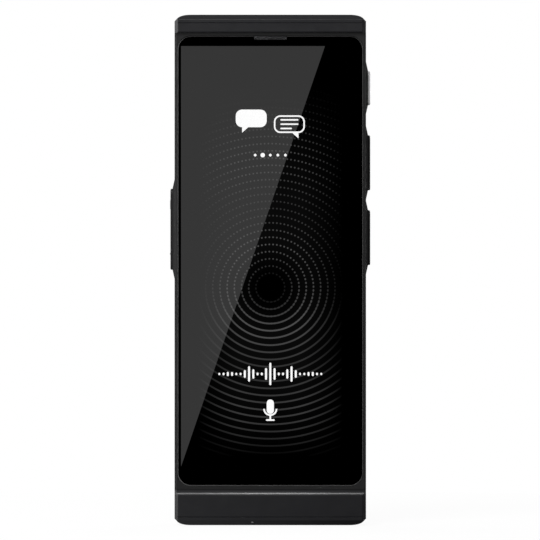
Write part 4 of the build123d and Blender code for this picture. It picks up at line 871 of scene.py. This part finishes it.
# ---------------------------------------- signs on the screen
SIGN_FRONT = ink_low.y + 0.012 * MM
SIGN_BACK = ink_high.y - 0.012 * MM
STROKE = 0.42 * MM
SPEECH_Z = 112.2 * MM
BUBBLE_X = 5.3 * MM
BUBBLE_DROP = 0.8 * MM
BUBBLE_WIDTH = 8.6 * MM
BUBBLE_HEIGHT = 4.9 * MM
BUBBLE_CORNER = 0.36 * BUBBLE_HEIGHT
TAIL_WIDTH = 1.7 * MM
TAIL_DROP = 1.5 * MM
TAIL_GAP = 0.01 * MM
TEXT_LINES = ((1.2 * MM, 5.0 * MM), (0.0, 5.0 * MM), (-1.2 * MM, 3.2 * MM))
PAGE_DOTS_Z = 102.8 * MM
PAGE_DOTS_PITCH = 2.1 * MM
PAGE_DOTS_RADII = (0.38 * MM, 0.62 * MM, 0.38 * MM, 0.38 * MM, 0.38 * MM)
WAVE_Z = 42.0 * MM
WAVE_BARS = 25
WAVE_PITCH = 1.18 * MM
WAVE_BAR = 0.56 * MM
WAVE_LEAST = 0.62 * MM
WAVE_SWELL = 5.6 * MM
MICROPHONE_Z = 31.6 * MM
CRADLE_RISE = 0.7 * MM
CRADLE_RADII = (1.95 * MM, 1.5 * MM)
# Height above MICROPHONE_Z, width and height.
CAPSULE = (1.3 * MM, 2.0 * MM, 4.0 * MM)
STEM = (-1.75 * MM, 0.45 * MM, 1.3 * MM)
FOOT = (-2.4 * MM, 2.4 * MM, 0.45 * MM)


def sign_material():
    """Lit white picture elements."""
    paint = Paint("screen_white", (0.0, 0.0, 0.0), 0.6, specular=0.0)
    paint.feed("Emission Strength", paint.ranged(paint.noise(0.4 * MM), 1.04, 1.1))
    paint.put("Emission Color", (1.0, 1.0, 1.0, 1.0))
    return paint


sign_paint = sign_material()


def mark(form, points):
    """Flat element of a sign, in the thickness of the print."""
    slab(form, points, SIGN_FRONT, SIGN_BACK)


def bubble(form, side, hollow):
    """Speech bubble on one side, with a tail at its outer lower corner."""
    x, z = side * BUBBLE_X, SPEECH_Z - side * BUBBLE_DROP
    outer = box_outline(x, z, BUBBLE_WIDTH, BUBBLE_HEIGHT, BUBBLE_CORNER)
    if hollow:
        width, height = BUBBLE_WIDTH - 2 * STROKE, BUBBLE_HEIGHT - 2 * STROKE
        inner = box_outline(x, z, width, height, BUBBLE_CORNER - STROKE)
        hoop(form, outer, inner, SIGN_FRONT, SIGN_BACK)
    else:
        mark(form, outer)
    root = x + side * (BUBBLE_WIDTH / 2 - BUBBLE_CORNER)
    low = z - BUBBLE_HEIGHT / 2
    top = low - TAIL_GAP
    mark(form, [(root, top), (root - side * TAIL_WIDTH, top), (root, low - TAIL_DROP)])


def speech_sign():
    """Two speech bubbles side by side, the left one filled, the right one with text lines."""
    form = bmesh.new()
    bubble(form, -1, False)
    bubble(form, 1, True)
    longest = TEXT_LINES[0][1]
    for rise, width in TEXT_LINES:
        x = BUBBLE_X - (longest - width) / 2
        mark(form, pill(x, SPEECH_Z - BUBBLE_DROP + rise, width, STROKE))
    piece("screen_speech_sign", form, "housing", sign_paint)


def dots_sign():
    """Row of five page dots, the second one larger."""
    form = bmesh.new()
    for place, radius in enumerate(PAGE_DOTS_RADII):
        mark(form, disc((place - 2) * PAGE_DOTS_PITCH, PAGE_DOTS_Z, radius, 24))
    piece("screen_page_dots", form, "housing", sign_paint)


def wave_sign():
    """Sound wave of upright bars."""
    form = bmesh.new()
    for place in range(WAVE_BARS):
        offset = place - (WAVE_BARS - 1) / 2
        swell = math.cos(offset / WAVE_BARS * math.pi) * (0.55 + 0.45 * math.cos(offset * 1.25))
        height = WAVE_LEAST + WAVE_SWELL * swell * swell
        mark(form, pill(offset * WAVE_PITCH, WAVE_Z, WAVE_BAR, height, 8))
    piece("screen_sound_wave", form, "housing", sign_paint)


def microphone_sign():
    """Microphone: capsule, cradle, stem and foot."""
    form = bmesh.new()
    for rise, width, height in (CAPSULE, STEM, FOOT):
        mark(form, pill(0.0, MICROPHONE_Z + rise, width, height))
    z = MICROPHONE_Z + CRADLE_RISE
    outer, inner = CRADLE_RADII
    mark(form, arc(0.0, z, outer, 180, 360, 24) + arc(0.0, z, inner, 360, 180, 24))
    piece("screen_microphone_sign", form, "housing", sign_paint)


speech_sign()
dots_sign()
wave_sign()
microphone_sign()

# ---------------------------------------- earpiece weave
WIRE_PITCH = 0.155 * MM
WIRE_RADIUS = 0.034 * MM
WIRE_SIDES = 5
WEAVE_Y = ear_low.y - 2.2 * WIRE_RADIUS
WEAVE_MARGIN = 0.08 * MM
ACROSS = Vector((1.0, 0.0, 0.0))
UP = Vector((0.0, 0.0, 1.0))
wire_paint = metal("woven_steel", (0.13, 0.13, 0.135), 0.4, brush=WOUND)


def tube(form, points, radius, level):
    """Closed tube along a line of points, its rings turned to a direction square to the line."""
    rings = []
    for place, point in enumerate(points):
        ahead = points[min(place + 1, len(points) - 1)] - points[max(place - 1, 0)]
        out = ahead.cross(level).normalized()
        ring = []
        for side in range(WIRE_SIDES):
            angle = 2 * math.pi * side / WIRE_SIDES
            off = math.cos(angle) * level + math.sin(angle) * out
            ring.append(form.verts.new(point + radius * off))
        rings.append(ring)
    skin(form, rings)
    form.faces.new(rings[0][::-1])
    form.faces.new(rings[-1])


def earpiece_weave():
    """Plain weave of wires in front of the earpiece's backing sheet."""
    form = bmesh.new()
    columns = int((ear_high.x - ear_low.x - 2 * WEAVE_MARGIN) / WIRE_PITCH)
    rows = int((ear_high.z - ear_low.z) / WIRE_PITCH)
    centre = middle(ear_low, ear_high)
    centre.y = WEAVE_Y
    for wires, crossings, along, apart, sign in (
        (rows, columns, ACROSS, UP, 1),
        (columns, rows, UP, ACROSS, -1),
    ):
        for wire in range(wires):
            line = centre + apart * (wire + 0.5 - wires / 2) * WIRE_PITCH
            points = []
            for step in range(2 * crossings + 1):
                lift = sign * math.cos(math.pi * (step - 1) / 2 + math.pi * wire)
                point = line + along * (step - crossings) * WIRE_PITCH / 2
                points.append(point + Vector((0.0, lift * WIRE_RADIUS, 0.0)))
            tube(form, points, WIRE_RADIUS, apart)
    piece("earpiece_weave", form, "housing", wire_paint, smooth=True)


earpiece_weave()

# ---------------------------------------- camera and flash
PRINT_FRONT = window_low.y - 0.03 * MM
PRINT_BACK = window_low.y - 0.005 * MM
PRINT_HALF = 4.2 * MM
PRINT_STEPS = 144
PRINT_GRAIN = 0.002 * MM
LENS_HOLE = 3.35 * MM
FLASH_HOLE = 1.85 * MM
BOWL_Y = lens_high.y - 0.5 * MM
IRIS_RADII = (2.15 * MM, 0.75 * MM)
IRIS_SPAN = (BOWL_Y + 0.01 * MM, BOWL_Y + 0.05 * MM)
DOME_Y = BOWL_Y + 0.08 * MM
DOME_RADIUS = 2.1 * MM
DOME_EDGE = 0.1 * MM
DOME_RISE = 0.42 * MM
DOME_STEPS = 10
RING_RADII = (2.95 * MM, 2.75 * MM)
RING_SPAN = (lens_high.y, lens_high.y + 0.06 * MM)
mask_paint = Paint("window_print_black", (0.004, 0.004, 0.0045), 0.55)
mask_paint.tint(mask_paint.noise(2 * MM), dark=0.8, light=1.3)
mask_paint.bump(mask_paint.noise(0.2 * MM), PRINT_GRAIN)
lens_glass_paint = clear("lens_coated_glass", (0.82, 0.86, 1.0), ior=1.6)
iris_paint = plastic("iris_black", (0.005, 0.005, 0.006), 0.45)


def window_mask():
    """Black print on the back of the window with clear circles for lens and flash."""
    form = bmesh.new()
    x = middle(window_low, window_high).x
    lens_z = middle(lens_low, lens_high).z
    flash_z = middle(guide_low, guide_high).z
    reach = abs(lens_z - flash_z) / 2
    for z, side, hole in ((lens_z, 1, LENS_HOLE), (flash_z, -1, FLASH_HOLE)):
        outer = []
        for step in range(PRINT_STEPS):
            angle = 2 * math.pi * step / PRINT_STEPS
            across, up = math.cos(angle), side * math.sin(angle)
            length = PRINT_HALF
            if up < 0:
                length = min(PRINT_HALF / max(abs(across), 1e-6), reach / -up)
            outer.append((x + length * across, z + side * length * up))
        hoop(form, outer, disc(x, z, hole, PRINT_STEPS), PRINT_FRONT, PRINT_BACK)
    piece("camera_window_print", form, "housing", mask_paint)


def turned(form, x, z, profile):
    """Form turned about an axis along Y, from (radius, y) pairs that start and end on it."""
    rings = []
    for radius, y in profile[1:-1]:
        rings.append([form.verts.new((px, y, pz)) for px, pz in disc(x, z, radius)])
    skin(form, rings)
    for (_, y), ring in ((profile[0], rings[0]), (profile[-1], rings[-1])):
        tip = form.verts.new((x, y, z))
        for place in range(len(ring)):
            form.faces.new((tip, ring[place - 1], ring[place]))


def lens_front():
    """Domed front glass in the barrel's bowl, over an iris with a small opening, and a ring."""
    centre = middle(lens_low, lens_high)
    x, z = centre.x, centre.z
    form = bmesh.new()
    hoop(form, *[disc(x, z, radius) for radius in IRIS_RADII], *IRIS_SPAN)
    piece("camera_iris", form, "camera_lens", iris_paint)
    form = bmesh.new()
    profile = [(0.0, DOME_Y), (DOME_RADIUS, DOME_Y)]
    for step in range(DOME_STEPS + 1):
        share = 1 - step / DOME_STEPS
        y = DOME_Y + DOME_EDGE + DOME_RISE * (1 - share * share)
        profile.append((DOME_RADIUS * share, y))
    turned(form, x, z, profile)
    piece("camera_front_lens", form, "camera_lens", lens_glass_paint, smooth=True)
    form = bmesh.new()
    hoop(form, *[disc(x, z, radius) for radius in RING_RADII], *RING_SPAN)
    piece("camera_lens_ring", form, "camera_lens", trim_paint)


window_mask()
lens_front()

# ---------------------------------------- charging socket's contacts
CONTACTS = 12
LONG_CONTACTS = (0, 3, 8, 11)
CONTACT_PITCH = 0.5 * MM
CONTACT_THICK = 0.02 * MM
CONTACT_HALF = 0.13 * MM
CONTACT_START = tongue_low.z + 0.6 * MM
LONG_START = tongue_low.z + 0.35 * MM
CONTACT_END = tongue_low.z + 4.2 * MM


def contacts():
    """Twelve gold contacts on each side of the socket's tongue."""
    form = bmesh.new()
    for place in range(CONTACTS):
        middle_x = (place - (CONTACTS - 1) / 2) * CONTACT_PITCH
        left, right = middle_x - CONTACT_HALF, middle_x + CONTACT_HALF
        start = LONG_START if place in LONG_CONTACTS else CONTACT_START
        corners = [(left, start), (right, start), (right, CONTACT_END), (left, CONTACT_END)]
        for y in (tongue_low.y - CONTACT_THICK, tongue_high.y):
            slab(form, corners, y, y + CONTACT_THICK)
    piece("usb_c_contacts", form, "housing", gold_paint)


contacts()

# ---------------------------------------- microphone's guard
BORE_MOUTH = Vector((-5.0 * MM, bottom_low.y + 0.475 * MM, bottom_low.z + 0.675 * MM))
BORE_INWARD = Vector((0.0, 1.0, 1.0)).normalized()
BORE_RADIUS = 0.395 * MM
GUARD_DEPTH = 0.2 * MM
GUARD_PITCH = 0.1 * MM
GUARD_WIRE = 0.028 * MM
GUARD_STEPS = 8
guard_paint = metal("guard_steel", (0.75, 0.75, 0.76), 0.35, brush=WOUND)
guard_paint.put("Metallic", 0.3)


def microphone_guard():
    """Fine steel mesh across the leaning microphone hole, just below its mouth."""
    form = bmesh.new()
    rise = BORE_INWARD.cross(ACROSS)
    centre = BORE_MOUTH + BORE_INWARD * GUARD_DEPTH
    count = int(BORE_RADIUS / GUARD_PITCH)
    for along, apart in ((ACROSS, rise), (rise, ACROSS)):
        for place in range(-count, count + 1):
            side = place * GUARD_PITCH
            half = math.sqrt(BORE_RADIUS**2 - side**2)
            points = []
            for step in range(GUARD_STEPS + 1):
                reach = half * (2 * step / GUARD_STEPS - 1)
                points.append(centre + along * reach + apart * side)
            tube(form, points, GUARD_WIRE, along.cross(BORE_INWARD))
    piece("microphone_guard", form, "housing", guard_paint, smooth=True)


microphone_guard()

# ---------------------------------------- stage
# Slopes and levels of the studio that glossy surfaces see, and the light's own level.
WORLD_SIDE = -0.3
WORLD_BASE = 0.2
WORLD_BACK = -0.05
WORLD_LEAST = 0.03
WORLD_LIGHT = 0.38
DARK_AHEAD = (-0.99, -0.94)
FLOOR_RADIUS = 0.25
FLOOR_STEPS = 96
FLOOR_DROP = 0.05 * MM
# Height from which the floor's tone in mirrors is worked out.
FLOOR_EYE = 0.05
FLOOR_BOUNCE = (0.3, 0.3, 0.3)
FLOOR_SEEN = (0.85, 0.85, 0.85)
FLOOR_WHITE = 0.92
# Place, width, height and power of each lamp, and False where it shows in no reflection.
LAMPS = {
    "key_lamp": ((-0.3, -0.72, 0.62), 0.4, 0.5, 4.6),
    "side_lamp": ((-0.9, 0.1, 0.15), 0.25, 0.7, 1.5),
    "crown_lamp": ((-0.05, -0.24, 0.32), 0.15, 0.08, 0.32, False),
    "back_lamp": ((-0.6, 0.8, 0.6), 1.0, 1.0, 7.0),
    "fill_lamp": ((0.62, 0.95, 0.35), 0.8, 0.8, 8.0),
}


def studio_level(graph, direction):
    """What glossy surfaces see of the studio in a direction: lighter to the left."""
    x, y, _ = graph.split(direction)
    from_left = graph.math("MULTIPLY_ADD", x, WORLD_SIDE, WORLD_BASE)
    from_back = graph.math("MULTIPLY_ADD", y, WORLD_BACK, from_left)
    return graph.math("MAXIMUM", from_back, WORLD_LEAST)


def dark_ahead(graph, direction):
    """Zero straight ahead of the front, so that the glass stays clear there, and one elsewhere."""
    return graph.ranged(graph.split(direction)[1], 0.0, 1.0, *DARK_AHEAD)


def mirror_rays(graph, path):
    """One for rays that come by way of a mirror or through glass."""
    glossy, through = path.outputs["Is Glossy Ray"], path.outputs["Is Transmission Ray"]
    return graph.math("MAXIMUM", glossy, through)


def floor_material():
    """White for the camera, plain for the light, and the studio's own tone in mirrors."""
    material = bpy.data.materials.new("floor_pale")
    graph = Graph(material)
    path = graph.add("ShaderNodeLightPath")
    camera_ray = path.outputs["Is Camera Ray"]
    diffuse = graph.add("ShaderNodeBsdfDiffuse")
    tone = graph.mixed(camera_ray, FLOOR_BOUNCE, FLOOR_SEEN)
    graph.link(tone.outputs["Result"], diffuse.inputs["Color"])
    white = graph.add("ShaderNodeEmission").outputs["Emission"]
    share = graph.product(camera_ray, FLOOR_WHITE)
    plain = graph.blend(share, diffuse.outputs["BSDF"], white)
    lifted = graph.add("ShaderNodeVectorMath", operation="SUBTRACT")
    lifted.inputs[1].default_value = (0.0, 0.0, FLOOR_EYE)
    graph.link(graph.add("ShaderNodeTexCoord").outputs["Object"], lifted.inputs[0])
    direction = graph.add("ShaderNodeVectorMath", operation="NORMALIZE")
    graph.link(lifted.outputs["Vector"], direction.inputs[0])
    mirrored = graph.add("ShaderNodeEmission")
    level = studio_level(graph, direction.outputs["Vector"])
    graph.link(level, mirrored.inputs["Strength"])
    surface = graph.blend(mirror_rays(graph, path), plain, mirrored.outputs["Emission"])
    output = graph.add("ShaderNodeOutputMaterial")
    graph.link(surface, output.inputs["Surface"])
    return material


def make_floor():
    """Small pale floor disc."""
    form = bmesh.new()
    bmesh.ops.create_circle(form, cap_ends=True, segments=FLOOR_STEPS, radius=FLOOR_RADIUS)
    mesh = bpy.data.meshes.new("floor")
    form.to_mesh(mesh)
    form.free()
    mesh.materials.append(floor_material())
    floor = bpy.data.objects.new("floor", mesh)
    floor.location = (0.0, 0.0, cad_low.z - FLOOR_DROP)
    bpy.context.scene.collection.objects.link(floor)


def make_world():
    """White for the camera, a plain level for light, and a studio gradient for reflections."""
    world = bpy.data.worlds.new("studio")
    bpy.context.scene.world = world
    graph = Graph(world)

    def shade(strength=1.0):
        """White background whose strength is a number or a socket."""
        background = graph.add("ShaderNodeBackground")
        background.inputs["Color"].default_value = (1.0, 1.0, 1.0, 1.0)
        if isinstance(strength, float):
            background.inputs["Strength"].default_value = strength
        else:
            graph.link(strength, background.inputs["Strength"])
        return background.outputs["Background"]

    direction = graph.add("ShaderNodeTexCoord").outputs["Generated"]
    studio = graph.product(studio_level(graph, direction), dark_ahead(graph, direction))
    path = graph.add("ShaderNodeLightPath")
    around = graph.blend(mirror_rays(graph, path), shade(WORLD_LIGHT), shade(studio))
    seen = graph.blend(path.outputs["Is Camera Ray"], around, shade())
    graph.link(seen, graph.add("ShaderNodeOutputWorld").inputs["Surface"])


def make_lamp(name, place, width, height, power, reflected=True):
    """Soft rectangular lamp that faces the middle of the body."""
    data = bpy.data.lights.new(name, "AREA")
    data.shape = "RECTANGLE"
    data.size = width
    data.size_y = height
    data.energy = power
    lamp = bpy.data.objects.new(name, data)
    lamp.location = place
    aim = middle(cad_low, cad_high) - lamp.location
    lamp.rotation_euler = aim.to_track_quat("-Z", "Y").to_euler()
    bpy.context.scene.collection.objects.link(lamp)
    lamp.visible_camera = False
    lamp.visible_glossy = reflected


def make_camera():
    """Long lens, level with the middle of the picture."""
    data = bpy.data.cameras.new("camera")
    data.lens = LENS
    data.sensor_width = SENSOR
    data.clip_end = CLIP_END
    camera = bpy.data.objects.new("camera", data)
    distance = IMAGE_PIXELS * PIXEL * LENS / SENSOR
    half = IMAGE_PIXELS / 2
    camera.location = (pixel_x(half), glass_low.y - distance, pixel_z(half))
    camera.rotation_euler = (math.radians(90), 0.0, 0.0)
    bpy.context.scene.collection.objects.link(camera)
    bpy.context.scene.camera = camera


make_camera()
make_floor()
make_world()
for name, measures in LAMPS.items():
    make_lamp(name, *measures)
bpy.context.scene.view_settings.view_transform = "Standard"
